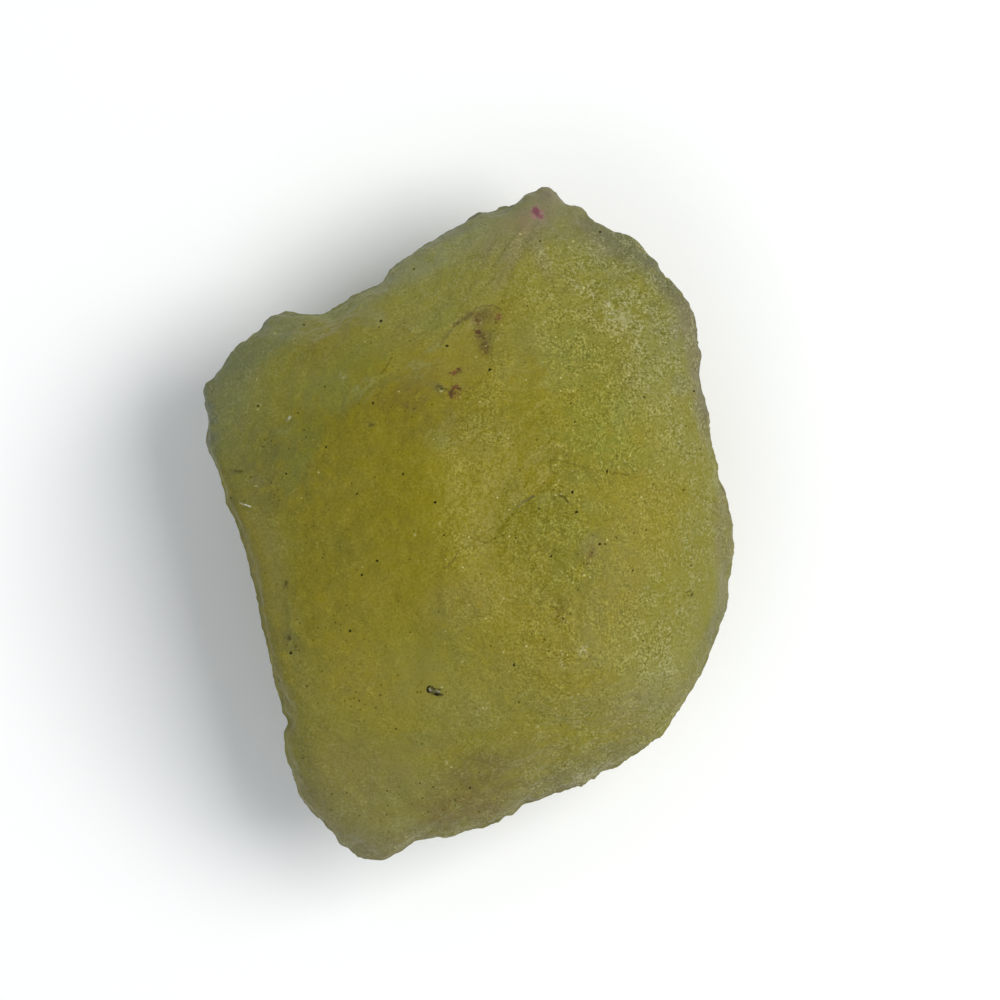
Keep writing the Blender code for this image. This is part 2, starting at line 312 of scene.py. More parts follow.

# Soft tints over the stone's own colour, each over the ones before it, and patches that show only
# as flecks on its grain. The tints named shade or dim are painted shade. The least share keeps a
# blend of colours from dividing by 0
Tint = namedtuple("Tint", "name middle reach turn strength colour")
LEAST_SHARE = 1e-6
GREEN = (0.150, 0.205, 0.020)
GREY_GREEN = (0.145, 0.170, 0.078)
GREY_OLIVE = (0.165, 0.162, 0.112)
RICH = (0.254, 0.213, 0.000)
SAGE = (0.240, 0.248, 0.125)
BLUSH = (0.255, 0.200, 0.125)
PALE_BLUSH = (0.310, 0.240, 0.190)
DUSTY_PINK = (0.190, 0.158, 0.088)
EMBER = (0.190, 0.135, 0.010)
BROWN = (0.150, 0.108, 0.022)
RUST = (0.110, 0.060, 0.018)
CHALK = (0.480, 0.460, 0.290)
SCRAPE = (0.290, 0.285, 0.100)
PALE_OLIVE = (0.295, 0.298, 0.085)
DULL = (0.225, 0.202, 0.080)
# DIM, SHADE and LOWER_SHADE are painted shade
DIM = (0.125, 0.116, 0.060)
SMOKE = (0.100, 0.095, 0.035)
DEEP_GREEN = (0.180, 0.166, 0.000)
SHADE = (0.130, 0.122, 0.014)
LOWER_SHADE = (0.165, 0.138, 0.062)
TINTS = (
    Tint("grey-green left corner", (222, 400), (34, 66), 12, 0.55, GREY_GREEN),
    Tint("grey left edge", (211, 425), (9, 45), -10, 0.75, GREY_GREEN),
    Tint("grey-green shoulder", (262, 340), (62, 24), -38, 0.66, GREY_GREEN),
    Tint("sage upper left rim", (434, 252), (110, 22), -29, 0.75, SAGE),
    Tint("blush left of the peak", (512, 238), (46, 24), -20, 0.28, BLUSH),
    Tint("dim rim right of the peak", (610, 238), (58, 18), 36, 0.60, DIM),
    Tint("grey rim of the left corner", (208, 420), (9, 54), -6, 0.80, GREY_OLIVE),
    Tint("grey rim of the shoulder", (264, 318), (46, 11), -25, 0.70, GREY_OLIVE),
    Tint("grey rim left of the peak", (464, 225), (54, 9), -28, 0.50, GREY_OLIVE),
    Tint("dim dip left of the peak", (515, 202), (16, 7), -15, 0.45, DIM),
    Tint("dim step right of the peak", (604, 221), (18, 7), 30, 0.45, DIM),
    Tint("grey by the upper left rim", (372, 318), (20, 12), 0, 0.28, GREY_OLIVE),
    Tint("grey on the right rim", (680, 385), (10, 15), 0, 0.35, GREY_OLIVE),
    Tint("dull above the tail", (428, 742), (36, 14), 0, 0.35, DULL),
    Tint("rich spot below the peak", (522, 226), (16, 12), 0, 0.30, RICH),
    Tint("rich upper slope", (455, 290), (50, 26), -30, 0.20, RICH),
    Tint("rich streak on the left", (292, 450), (24, 14), 0, 0.25, DEEP_GREEN),
    Tint("grey peak", (546, 194), (26, 9), 0, 0.45, GREY_OLIVE),
    Tint("grey upper right rim", (664, 278), (16, 52), -38, 0.35, GREY_OLIVE),
    Tint("grey lower right rim", (720, 610), (10, 50), 12, 0.40, GREY_OLIVE),
    Tint("dim end of the tail", (360, 853), (30, 9), 8, 0.42, LOWER_SHADE),
    Tint("rich left window", (400, 500), (62, 90), 0, 0.30, RICH),
    Tint("rich centre", (500, 425), (44, 46), 0, 0.25, RICH),
    Tint("rich hollow", (550, 545), (74, 64), 0, 0.30, DEEP_GREEN),
    Tint("rich lower slope", (420, 650), (80, 52), 0, 0.22, RICH),
    Tint("rich tail", (374, 800), (56, 50), 0, 0.25, RICH),
    Tint("rich foot of the swelling", (570, 760), (80, 20), -25, 0.25, RICH),
    Tint("grey-green rim right of the peak", (640, 255), (62, 15), 40, 0.35, GREY_GREEN),
    Tint("pale upper slope", (455, 285), (80, 42), -30, 0.30, PALE_OLIVE),
    Tint("pale middle of the right break", (562, 335), (46, 70), 0, 0.16, PALE_OLIVE),
    Tint("pale swelling", (645, 655), (58, 48), 0, 0.18, PALE_OLIVE),
    Tint("pale lower slope", (460, 690), (90, 60), 0, 0.12, PALE_OLIVE),
    Tint("pale spot on the ridge", (436, 440), (13, 11), 0, 0.55, PALE_OLIVE),
    Tint("pale spot below the ledge's top", (546, 500), (12, 10), 0, 0.48, PALE_OLIVE),
    Tint("pale spot by the step", (593, 505), (11, 9), 0, 0.30, PALE_OLIVE),
    Tint("pale spot on the right break", (624, 412), (17, 26), 0, 0.38, PALE_OLIVE),
    Tint("pale left shoulder", (325, 388), (44, 28), 0, 0.42, PALE_OLIVE),
    Tint("pale foot of the swelling", (650, 685), (52, 26), -35, 0.30, PALE_OLIVE),
    Tint("pale right break", (648, 372), (34, 50), 10, 0.25, PALE_OLIVE),
    Tint("green calm band", (535, 385), (36, 90), -8, 0.14, GREEN),
    Tint("green slope above the tail", (430, 640), (70, 56), 0, 0.14, GREEN),
    Tint("warm foot of the swelling", (488, 745), (50, 44), 0, 0.10, BROWN),
    Tint("warm end of the tail", (362, 838), (34, 26), 0, 0.12, BROWN),
    Tint("warm brow", (432, 424), (60, 24), 0, 0.16, BROWN),
    Tint("warm tail", (395, 805), (120, 60), 0, 0.18, BLUSH),
    Tint("green left shoulder", (300, 415), (62, 34), -25, 0.22, GREEN),
    Tint("green streak on the left", (295, 455), (30, 9), -18, 0.55, GREEN),
    Tint("green below it", (292, 472), (12, 30), 22, 0.42, GREEN),
    Tint("green at the left rim", (240, 478), (16, 9), -15, 0.35, GREEN),
    Tint("green right of the ledge", (596, 400), (42, 75), -12, 0.28, GREEN),
    Tint("green below the upper right", (570, 345), (32, 30), 0, 0.30, GREEN),
    Tint("green below the break", (610, 450), (66, 18), 18, 0.28, GREEN),
    Tint("green smear on the tail", (405, 742), (60, 12), -8, 0.15, GREEN),
    Tint("green beside the hook", (440, 320), (30, 14), -35, 0.25, GREEN),
    Tint("blush on the peak", (546, 198), (20, 12), 0, 0.45, BLUSH),
    Tint("blush round the magenta mark", (530, 219), (26, 14), -20, 0.75, BLUSH),
    Tint("blush on the ridge head", (511, 256), (10, 40), 26, 0.40, BLUSH),
    Tint("blush left of the ridge head", (492, 245), (9, 30), 38, 0.30, BLUSH),
    Tint("blush right of the ridge head", (540, 255), (9, 30), -20, 0.30, BLUSH),
    Tint("dim upper right rim", (668, 280), (14, 56), -38, 0.62, DIM),
    Tint("pink on the upper right rim", (688, 322), (12, 26), -18, 0.70, DUSTY_PINK),
    Tint("pink on the right rim", (701, 370), (15, 84), -7, 0.90, DUSTY_PINK),
    Tint("pink right shoulder", (724, 530), (12, 70), 0, 0.55, DUSTY_PINK),
    Tint("blush in the centre", (456, 608), (42, 34), -20, 0.18, BLUSH),
    Tint("dim lower right rim", (706, 650), (12, 70), 28, 0.35, DIM),
    Tint("warm lower right", (648, 702), (66, 28), -35, 0.28, BLUSH),
    Tint("pale right window", (664, 440), (28, 44), 0, 0.22, PALE_OLIVE),
    Tint("green by the scar", (362, 370), (46, 34), -35, 0.28, GREEN),
    Tint("green below the shoulder's notch", (338, 308), (32, 10), -15, 0.40, GREEN),
    Tint("green on the left", (300, 432), (26, 16), 0, 0.25, GREEN),
    Tint("green right of the middle", (618, 428), (32, 36), 0, 0.18, GREEN),
    Tint("warm upper slope", (468, 290), (60, 40), -30, 0.10, BROWN),
    Tint("warm lower edge", (570, 712), (90, 22), -8, 0.10, BROWN),
    Tint("dim right rim", (702, 372), (7, 54), -5, 0.50, DIM),
    Tint("warm spot by the black dots", (592, 562), (18, 14), 0, 0.12, BROWN),
    Tint("green by the left rim", (238, 452), (30, 18), 0, 0.30, GREEN),
    Tint("dim lower rim", (590, 768), (75, 18), -28, 0.60, LOWER_SHADE),
    Tint("dim rim beside the tail", (500, 806), (100, 20), -20, 0.60, LOWER_SHADE),
    Tint("dim tail", (400, 838), (36, 20), -25, 0.40, LOWER_SHADE),
    Tint("dim side of the tail", (322, 806), (16, 44), -42, 0.40, LOWER_SHADE),
    Tint("ember at the brow", (398, 398), (34, 16), -8, 0.28, EMBER),
    Tint("brown at the brow", (408, 388), (56, 24), -6, 0.30, BROWN),
    Tint("brown in the hook", (484, 316), (17, 10), -18, 0.85, BROWN),
    Tint("brown under the hook", (483, 338), (10, 17), -10, 0.85, BROWN),
    Tint("brown band of the hook", (464, 318), (12, 5), -38, 0.80, BROWN),
    Tint("shade at the left rim", (262, 474), (48, 60), 10, 0.62, SHADE),
    Tint("shade on the left slope", (325, 540), (74, 190), 0, 0.34, SHADE),
    Tint("shade on the left side", (288, 650), (34, 120), -12, 0.34, SHADE),
    Tint("shade below the hook", (470, 425), (80, 34), 0, 0.34, SHADE),
    Tint("shade on the ledge", (498, 515), (56, 10), -42, 0.14, SHADE),
    Tint("shade right of the centre", (546, 454), (26, 20), 0, 0.22, SHADE),
    Tint("shade along the crease", (622, 467), (34, 10), 12, 0.20, SHADE),
    Tint("shade at the ledge's foot", (474, 540), (15, 10), -20, 0.30, SHADE),
    Tint("shade at the ledge's head", (513, 488), (12, 13), 0, 0.30, SHADE),
    Tint("shade below the crease", (590, 477), (24, 9), 5, 0.24, SHADE),
    Tint("shade on the left edge", (243, 545), (7, 130), -15, 0.58, SHADE),
    Tint("shade above the left notch", (283, 700), (8, 44), -12, 0.50, SHADE),
    Tint("shade on the tail's left edge", (303, 785), (9, 66), -28, 0.34, SHADE),
    Tint("deep green left of the ledge", (508, 500), (24, 42), 10, 0.30, DEEP_GREEN),
    Tint("deep green below the black dots", (576, 550), (34, 30), 0, 0.28, DEEP_GREEN),
    Tint("shade below the swelling", (520, 762), (70, 30), -10, 0.35, LOWER_SHADE),
    Tint("shade below the ledge", (560, 600), (70, 60), 0, 0.18, SHADE),
    Tint("dull left side", (262, 560), (26, 140), -14, 0.34, DULL),
    Tint("dull band above the tail", (470, 680), (200, 48), 0, 0.20, DULL),
    Tint("dull band below the peak", (480, 352), (170, 44), 0, 0.20, DULL),
    Tint("dull middle of the swelling", (612, 600), (36, 110), 12, 0.30, DULL),
    Tint("dull left shoulder", (270, 450), (50, 60), 0, 0.30, DULL),
    Tint("shade above the tail", (350, 768), (70, 50), 0, 0.34, LOWER_SHADE),
    Tint("deep green right of the centre", (580, 520), (40, 95), 4, 0.60, DEEP_GREEN),
    Tint("deep green under the ledge", (530, 528), (34, 26), -40, 0.40, DEEP_GREEN),
    Tint("brown along the tail", (465, 802), (58, 26), -18, 0.55, BROWN),
    Tint("brown above the tail", (476, 772), (44, 20), -10, 0.48, BROWN),
    Tint("brown on the swelling", (562, 608), (14, 14), 0, 0.30, BROWN),
    Tint("pale smudge by the black dots", (592, 545), (14, 16), 20, 0.16, PALE_BLUSH),
    Tint("pale smudge on the left rim", (256, 482), (12, 6), 0, 0.14, BLUSH),
    Tint("smoke at the left rim", (291, 640), (9, 14), -20, 0.35, SMOKE),
    Tint("smoke on the tail's left", (306, 770), (16, 50), -12, 0.22, SMOKE),
)
FLECKS = (
    Tint("stain in the hook", (483, 315), (9, 6), -15, 0.75, BROWN),
    Tint("dark stain in the hook", (477, 320), (5, 6), 0, 0.90, RUST),
    Tint("stain below the hook", (480, 333), (8, 6), 15, 1.00, RUST),
    Tint("stain's tail", (484, 347), (6, 12), -12, 0.80, RUST),
    Tint("red flecks by the hook", (498, 317), (6, 6), 0, 0.80, RUST),
    Tint("rust fleck pair", (455, 371), (8, 5), -20, 0.95, RUST),
    Tint("rust fleck group", (454, 391), (9, 9), 0, 1.00, RUST),
    Tint("grey fleck beside it", (440, 388), (8, 5), 10, 0.90, SMOKE),
    Tint("rust on the swelling", (562, 615), (10, 8), 10, 0.45, RUST),
    Tint("rust by the black dots", (591, 554), (5, 10), 20, 0.38, RUST),
    Tint("olive flecks below the ledge", (543, 551), (10, 7), 20, 0.50, SMOKE),
    Tint("brown flecks along the tail", (468, 800), (60, 26), -18, 0.40, BROWN),
    Tint("brown flecks at the brow", (410, 400), (44, 16), 0, 0.16, BROWN),
    Tint("chalk on the upper right", (610, 314), (5, 15), -15, 0.85, CHALK),
    Tint("chalk right of that", (622, 322), (18, 12), 30, 0.32, CHALK),
    Tint("chalk on the upper left", (374, 318), (13, 8), 25, 0.70, SCRAPE),
    Tint("chalk by the upper left rim", (366, 306), (10, 6), 0, 0.60, SCRAPE),
    Tint("chalk on the shoulder's rim", (248, 340), (14, 4), -40, 0.60, SCRAPE),
    Tint("upper chalk scrape", (417, 368), (16, 10), -25, 0.40, SCRAPE),
    Tint("lower chalk scrape", (360, 389), (22, 8), -42, 0.42, SCRAPE),
    Tint("chalk by the hook", (435, 347), (14, 5), -20, 0.60, SCRAPE),
    Tint("chalk fleck on the left slope", (343, 376), (5, 7), 20, 0.90, SCRAPE),
    Tint("chalk below the pale speck", (282, 432), (9, 6), 0, 0.22, SCRAPE),
    Tint("chalk flecks on the swelling", (562, 657), (4, 11), -8, 0.60, CHALK),
    Tint("chalk beside them", (584, 651), (7, 7), 0, 0.42, CHALK),
    Tint("chalk at the tail's notch", (402, 824), (20, 9), -20, 0.60, SCRAPE),
    Tint("chalk smudge on the tail", (482, 708), (9, 5), -15, 0.40, CHALK),
    Tint("chalk at the lower rim", (590, 772), (30, 7), -22, 0.45, CHALK),
)

# A mark is small and sharp, and is drawn inside its own oval, which is given as a patch's is. A
# stroke is drawn along its course, as short dashes. Stains are marks that lie under the others
# and show only on parts of the grain
Mark = namedtuple("Mark", "name middle reach turn strength colour")
Stroke = namedtuple("Stroke", "name course half_width strength colour")
PIT = (0.014, 0.012, 0.002)
DULL_PIT = (0.055, 0.046, 0.004)
OLIVE_PIT = (0.080, 0.066, 0.002)
GREY = (0.075, 0.070, 0.036)
DUSK = (0.092, 0.066, 0.022)
MAGENTA = (0.160, 0.040, 0.068)
PINK = (0.330, 0.155, 0.155)
RED = (0.150, 0.060, 0.028)
DEEP_RED = (0.075, 0.034, 0.016)
PALE_GREY = (0.250, 0.245, 0.215)
BRIGHT = (0.500, 0.465, 0.210)
SCRATCH = (0.285, 0.300, 0.125)
WHITE = (0.560, 0.550, 0.430)

# Round marks of one kind: the least and the greatest of their radii, their colour and strength,
# and where they are. Their two half-sizes differ by a share, and they are turned by chance
Dots = namedtuple("Dots", "name reach colour strength places")
DOTS = (
    Dots("black pits", (0.9, 1.4), PIT, 0.95, (
        (447, 346), (600, 544), (605, 544), (381, 321), (304, 325), (258, 406), (326, 447), (286, 474),
        (357, 494), (377, 561), (514, 665), (600, 232), (644, 397), (607, 471), (694, 391), (633, 570),
        (516, 538), (551, 556), (470, 788), (563, 618), (291, 653), (373, 403), (379, 327), (403, 474),
        (350, 631), (362, 575),
    )),
    Dots("dull pits", (0.7, 1.2), DULL_PIT, 0.8, (
        (371, 343), (325, 387), (359, 404), (304, 430), (432, 405), (404, 482), (540, 241), (212, 392),
        (679, 444), (700, 449), (686, 426), (520, 470), (537, 440), (481, 574), (616, 537), (634, 533),
        (646, 530), (691, 566), (694, 521), (683, 490), (653, 484), (613, 474), (649, 648), (643, 641),
        (523, 640), (544, 639), (414, 531), (340, 547), (314, 526), (410, 632), (354, 698), (359, 701),
        (380, 695), (307, 686), (360, 710), (396, 729), (420, 783), (422, 744), (347, 793), (332, 794),
        (387, 791), (519, 702), (298, 619), (265, 573), (493, 266), (479, 812), (455, 800), (440, 822),
        (579, 311), (594, 333), (600, 400), (575, 422), (527, 306), (596, 444), (414, 269), (251, 477),
        (306, 437), (289, 449), (298, 413), (544, 483), (539, 509), (622, 474), (231, 498), (271, 483),
        (645, 664), (578, 590),
    )),
    Dots("tiny pits", (0.5, 0.9), DULL_PIT, 0.8, (
        (268, 438), (265, 440), (271, 446), (275, 445), (278, 490), (274, 494), (278, 497), (274, 498),
        (279, 500), (273, 502), (271, 441), (263, 447), (294, 642), (287, 645), (296, 650), (282, 651),
        (349, 690), (356, 692), (366, 704), (372, 697), (345, 701), (351, 706), (388, 700), (376, 708),
        (405, 412), (412, 417), (421, 411), (428, 416), (437, 413), (444, 420), (391, 407), (383, 410),
        (540, 547), (543, 554), (547, 551), (536, 552), (592, 468), (598, 472), (588, 466), (615, 537),
        (494, 325), (496, 328), (494, 331), (486, 353), (497, 322), (505, 519), (512, 514), (501, 524),
        (330, 660), (338, 648), (322, 671), (345, 668), (313, 640), (326, 628), (352, 652), (360, 664),
        (456, 790), (463, 796), (473, 803), (449, 808), (436, 803), (484, 795), (493, 789), (428, 812),
    )),
    # Painted glints: bright dots on the frosted stone
    Dots("bright sparks", (0.6, 1.4), BRIGHT, 0.42, (
        (257, 379), (323, 334), (476, 357), (538, 506), (573, 702), (557, 731), (574, 702), (462, 774),
        (415, 535), (322, 577), (362, 567), (538, 727), (343, 377), (585, 650), (562, 656), (564, 664),
        (618, 325), (612, 308), (616, 316), (543, 362), (548, 248), (555, 247), (500, 433), (508, 438),
        (606, 305), (609, 313), (613, 321), (610, 330), (615, 334), (621, 338), (605, 320), (603, 312),
        (622, 330), (628, 342), (618, 341), (611, 337), (573, 241), (569, 247), (562, 236), (526, 285),
        (545, 322), (552, 331), (590, 296), (583, 287), (631, 300), (645, 312), (561, 651), (565, 668),
        (562, 662), (587, 656), (581, 651), (572, 697), (447, 763), (451, 767), (483, 708), (478, 712),
        (502, 325), (460, 397), (441, 391), (261, 405), (258, 409), (622, 452), (625, 461), (559, 480),
    )),
)
DOT_SIDES = (0.8, 1.25)
DOT_TURNS = (0, 90)

STROKES = (
    Stroke("hook's faint end", ((440, 347), (445, 339), (451, 330)), 1.3, 0.40, GREY),
    Stroke("hook's node", ((453, 326), (456.5, 323), (459, 321.5)), 1.8, 0.80, DUSK),
    Stroke("hook's band", ((459, 322), (465, 318), (472, 313.5)), 1.8, 0.50, DUSK),
    Stroke("hook's thin part", (
        (472, 312), (477, 308), (483, 306), (493, 305), (500, 309), (503, 314)
    ), 1.0, 0.62, DUSK),
    Stroke("dash on the scar", ((392, 358), (386, 367), (380, 375)), 1.1, 0.60, OLIVE_PIT),
    Stroke("box by the brow", ((401, 408), (408, 407), (408.5, 400)), 1.0, 0.35, DUSK),
    Stroke("spot by the brow", ((415, 394), (421, 389)), 1.1, 0.55, DUSK),
    Stroke("streak below the brow", ((373, 396.5), (381, 393)), 1.0, 0.50, DUSK),
    Stroke("streak at the left rim", ((229, 470.5), (235, 470.5)), 1.0, 0.20, DULL_PIT),
    Stroke("smudge at the left rim", ((235, 471), (242, 471.5)), 1.5, 0.60, DULL_PIT),
    Stroke("curl by the ledge", (
        (518.5, 507), (523, 502.5), (528, 499.5), (533.5, 496.5)
    ), 1.6, 0.75, GREY),
    Stroke("line below the curl", ((517, 511), (524, 506), (531, 503.5)), 0.8, 0.35, OLIVE_PIT),
    Stroke("curl right of the ledge", ((559, 495.5), (564, 496.5), (567.8, 501)), 1.3, 0.80, DULL_PIT),
    Stroke("ledge's top", ((550, 459), (550.5, 467), (550, 475)), 0.8, 0.45, OLIVE_PIT),
    Stroke("ledge's thin crack", ((478.5, 541), (488, 543), (493, 539), (504, 535)), 1.0, 0.68, OLIVE_PIT),
    Stroke("ledge's upper crack", ((500, 527), (507, 521), (515, 514)), 1.0, 0.40, OLIVE_PIT),
    Stroke("crack below the centre", (
        (445, 567.5), (451, 563), (456.5, 556), (459.5, 547.5)
    ), 0.8, 0.50, DUSK),
    Stroke("dashes on the step", (
        (603, 520.8), (610, 519.5), (615, 516.7), (627, 518.5)
    ), 0.6, 0.50, DULL_PIT),
    Stroke("short line by the step", ((607.5, 506.5), (611, 511)), 0.9, 0.50, OLIVE_PIT),
    Stroke("streak by the black dots", ((614.5, 534.5), (617, 538)), 0.8, 0.60, DULL_PIT),
    Stroke("crease's dark line", (
        (555, 460), (565, 462), (577, 465), (590, 469), (607, 471), (622, 473.5), (637, 478)
    ), 0.8, 0.55, OLIVE_PIT),
    Stroke("scratch one on the scar", ((352, 392), (360, 385), (366, 377)), 0.8, 0.40, SCRATCH),
    Stroke("scratch two on the scar", ((357, 400), (366, 390), (374, 381)), 0.8, 0.40, SCRATCH),
    Stroke("scratch three on the scar", ((363, 404), (371, 394), (377, 387)), 0.7, 0.35, SCRATCH),
    Stroke("scratch four on the scar", ((403, 372), (408, 366), (415, 361)), 0.8, 0.40, SCRATCH),
    Stroke("scratch five on the scar", ((410, 372), (417, 365), (424, 362)), 0.8, 0.35, SCRATCH),
    Stroke("scratch six on the scar", ((418, 369), (425, 364), (431, 363)), 0.7, 0.35, SCRATCH),
    Stroke("first line on the ridge head", (
        (523, 227), (514, 237), (506, 247), (498, 262)
    ), 0.8, 0.30, OLIVE_PIT),
    Stroke("second line on the ridge head", ((531, 238), (524, 251), (518, 262)), 0.7, 0.25, OLIVE_PIT),
    Stroke("third line on the ridge head", ((503, 232), (494, 243), (487, 254)), 0.7, 0.25, OLIVE_PIT),
    Stroke("fourth line on the ridge head", ((534, 262), (528, 276), (524, 290)), 0.7, 0.22, OLIVE_PIT),
    Stroke("line below the ridge head", ((548, 268), (552, 280), (555, 292)), 0.7, 0.25, OLIVE_PIT),
    Stroke("dark mark's lower edge", (
        (426.8, 689), (428, 692), (431, 693.3), (434.5, 694), (438, 695), (442.3, 694.6)
    ), 1.5, 1.00, PIT),
    Stroke("dark mark's upper edge", ((427.3, 688.6), (429.5, 686.8), (432.5, 687.6)), 1.4, 1.00, PIT),
    Stroke("dark mark's middle edge", ((432.5, 688.3), (436, 688.6), (440, 690)), 0.8, 0.70, PIT),
    Stroke("streak left of the dark mark", (
        (417.5, 687.5), (420, 684.3), (422.3, 680.5)
    ), 0.9, 0.60, OLIVE_PIT),
    Stroke("ring on the right rim", (
        (687, 592), (690, 590.7), (692.5, 593), (691, 595.7), (687.5, 595)
    ), 0.9, 0.80, PIT),
    Stroke("pale fibre", ((240.5, 503.2), (245, 504.6), (249.5, 506)), 0.8, 1.00, WHITE),
)
LARGE_MARKS = (
    Mark("black pit right of the ledge", (572.3, 492.2), (1.4, 1.7), 0, 1.00, PIT),
    Mark("black pit below it", (576.3, 512.2), (1.7, 1.4), 0, 1.00, PIT),
    Mark("black pit left of the middle", (435.3, 502.3), (1.4, 1.3), 0, 1.00, PIT),
    Mark("black pit below the hook", (490.0, 369.8), (1.6, 1.4), 0, 1.00, PIT),
    Mark("dark mark's pale left part", (430.0, 689.6), (1.7, 1.3), 10, 0.90, PALE_GREY),
    Mark("dark mark's pale middle", (438.8, 691.4), (1.5, 1.1), 10, 0.75, PALE_GREY),
    Mark("dark mark's bright fleck", (441.8, 687.4), (1.4, 0.7), 0, 0.70, BRIGHT),
    Mark("speck right of the dark mark", (446.2, 691.3), (1.0, 1.3), 0, 0.60, DULL_PIT),
    Mark("speck left of the dark mark", (417.3, 692.0), (1.1, 1.3), 0, 0.60, OLIVE_PIT),
    Mark("magenta mark's upper part", (536.4, 212.4), (3.7, 5.4), -35, 0.78, MAGENTA),
    Mark("magenta mark's lower part", (540.6, 216.6), (2.6, 2.4), 20, 0.60, MAGENTA),
    Mark("dark red stain below the hook", (478.5, 332.5), (3.6, 2.4), 25, 0.70, DEEP_RED),
    Mark("stain's left end", (475.0, 330.5), (1.8, 1.0), 30, 0.60, DEEP_RED),
    Mark("pit in the hook", (477.0, 319.5), (1.2, 2.0), 10, 0.55, DULL_PIT),
    Mark("red speck under the stain", (484.0, 338.5), (1.6, 1.2), 0, 0.60, DEEP_RED),
    Mark("pit on the stain's tail", (482.0, 345.0), (1.2, 1.6), 0, 0.55, DULL_PIT),
    Mark("red fleck right of the hook", (498.0, 316.5), (2.0, 2.6), 25, 0.60, RED),
    Mark("dark red speck below it", (495.5, 319.5), (1.4, 1.0), 0, 0.60, DEEP_RED),
    Mark("upper rust fleck", (453.5, 372.5), (3.4, 1.6), -20, 0.85, RED),
    Mark("dark end of the upper rust fleck", (458.8, 369.4), (2.0, 1.6), 0, 0.80, DEEP_RED),
    Mark("brown fleck left of the rust", (438.6, 386.6), (2.6, 1.8), 0, 0.80, DUSK),
    Mark("black speck in the brown fleck", (441.5, 388.6), (1.5, 1.0), 20, 0.70, PIT),
    Mark("dull streak beside it", (446.5, 389.0), (2.6, 0.9), 10, 0.65, DULL_PIT),
    Mark("lower rust fleck", (451.5, 393.2), (2.8, 4.6), 8, 0.85, DEEP_RED),
    Mark("middle rust fleck", (455.6, 386.2), (3.0, 1.5), -25, 0.85, RED),
    Mark("dark end of the middle rust fleck", (459.0, 389.0), (1.9, 1.4), 0, 0.80, DEEP_RED),
    Mark("dull spot on the left slope", (371.5, 425.0), (2.4, 1.8), 0, 0.45, DULL_PIT),
    Mark("upper dull spot on the left side", (285.9, 583.5), (1.4, 2.6), 15, 0.65, DULL_PIT),
    Mark("lower dull spot on the left side", (289.3, 637.8), (1.5, 2.4), 0, 0.75, DULL_PIT),
    Mark("olive spot beside it", (296.0, 646.5), (1.2, 2.0), 10, 0.60, OLIVE_PIT),
    Mark("rust on the swelling", (558.0, 616.5), (2.0, 1.4), 0, 0.50, RUST),
    Mark("dark red speck on the swelling", (563.5, 619.0), (1.5, 1.3), 0, 0.60, DEEP_RED),
    Mark("black speck on the right break", (571.0, 403.0), (1.2, 1.2), 0, 0.70, PIT),
    Mark("upper speck by the black dots", (593.3, 549.0), (1.1, 1.2), 0, 0.55, GREY),
    Mark("middle speck by the black dots", (592.0, 552.6), (1.2, 1.3), 0, 0.65, DEEP_RED),
    Mark("lower speck by the black dots", (590.8, 556.0), (1.1, 1.2), 0, 0.60, RED),
    Mark("left red speck below them", (584.0, 563.0), (1.1, 0.9), 0, 0.65, DEEP_RED),
    Mark("right red speck below them", (587.5, 563.3), (1.4, 1.0), 0, 0.75, DEEP_RED),
    Mark("pale speck on the left slope", (289.5, 417.8), (1.3, 2.8), 38, 0.50, WHITE),
    Mark("pale end of that speck", (287.0, 420.2), (1.2, 1.6), 10, 0.40, PALE_GREY),
    Mark("bright streak at the left rim", (256.0, 486.0), (2.4, 0.8), 5, 0.40, BRIGHT),
)
STAINS = (
    Mark("grey round the dark mark", (434.6, 691.2), (7.4, 2.8), 18, 0.85, GREY),
    Mark("pink round the magenta mark", (537.8, 213.8), (6.0, 7.4), -35, 0.70, PINK),
    Mark("brown round the hook", (483.5, 315.5), (7.0, 4.6), -10, 0.35, DUSK),
    Mark("brown round the stain below the hook", (480.5, 333.5), (6.0, 3.6), 25, 0.45, DUSK),
    Mark("brown on the stain's tail", (484.5, 345.0), (3.6, 6.0), -12, 0.35, DUSK),
    Mark("red round the fleck right of the hook", (498.5, 317.0), (4.0, 4.4), 0, 0.40, RED),
    Mark("red round the upper rust fleck", (455.5, 371.0), (4.6, 2.8), -20, 0.40, RED),
    Mark("red round the lower rust fleck", (456.0, 396.5), (4.4, 3.4), 10, 0.40, RED),
    Mark("red round the middle rust fleck", (455.5, 388.5), (4.8, 2.6), 0, 0.35, RED),
    Mark("grey round the brown fleck", (440.5, 387.6), (4.4, 2.6), 12, 0.45, GREY),
    Mark("grey round the upper dull spot", (285.8, 584.5), (2.6, 4.8), 15, 0.40, GREY),
    Mark("grey round the lower dull spot", (289.3, 637.3), (2.8, 4.2), 0, 0.45, GREY),
    Mark("grey round the dull spot on the left slope", (371.5, 425.0), (4.0, 3.2), 0, 0.30, GREY),
    Mark("red by the black dots", (588.5, 557.0), (4.6, 8.0), 25, 0.08, RED),
    Mark("grey smudge at the left rim", (237.0, 471.5), (7.0, 2.6), 3, 0.30, GREY),
    Mark("brown in the box by the brow", (404.5, 404.5), (4.2, 4.2), 0, 0.25, DUSK),
)
MARK_SEED = 5

# A stroke's dashes: how long they are, how strong in shares of the stroke, and how far off its
# course, in pixels
DASH_LENGTH = 2.6
DASH_STRENGTHS = (0.35, 1.1)
DASH_SWAY = 0.4

# How many pixels from a mark a face still knows of it, and the place in a mark of a face that
# knows of none
MARK_NEAR = 3.5
MARK_FAR = 9.0
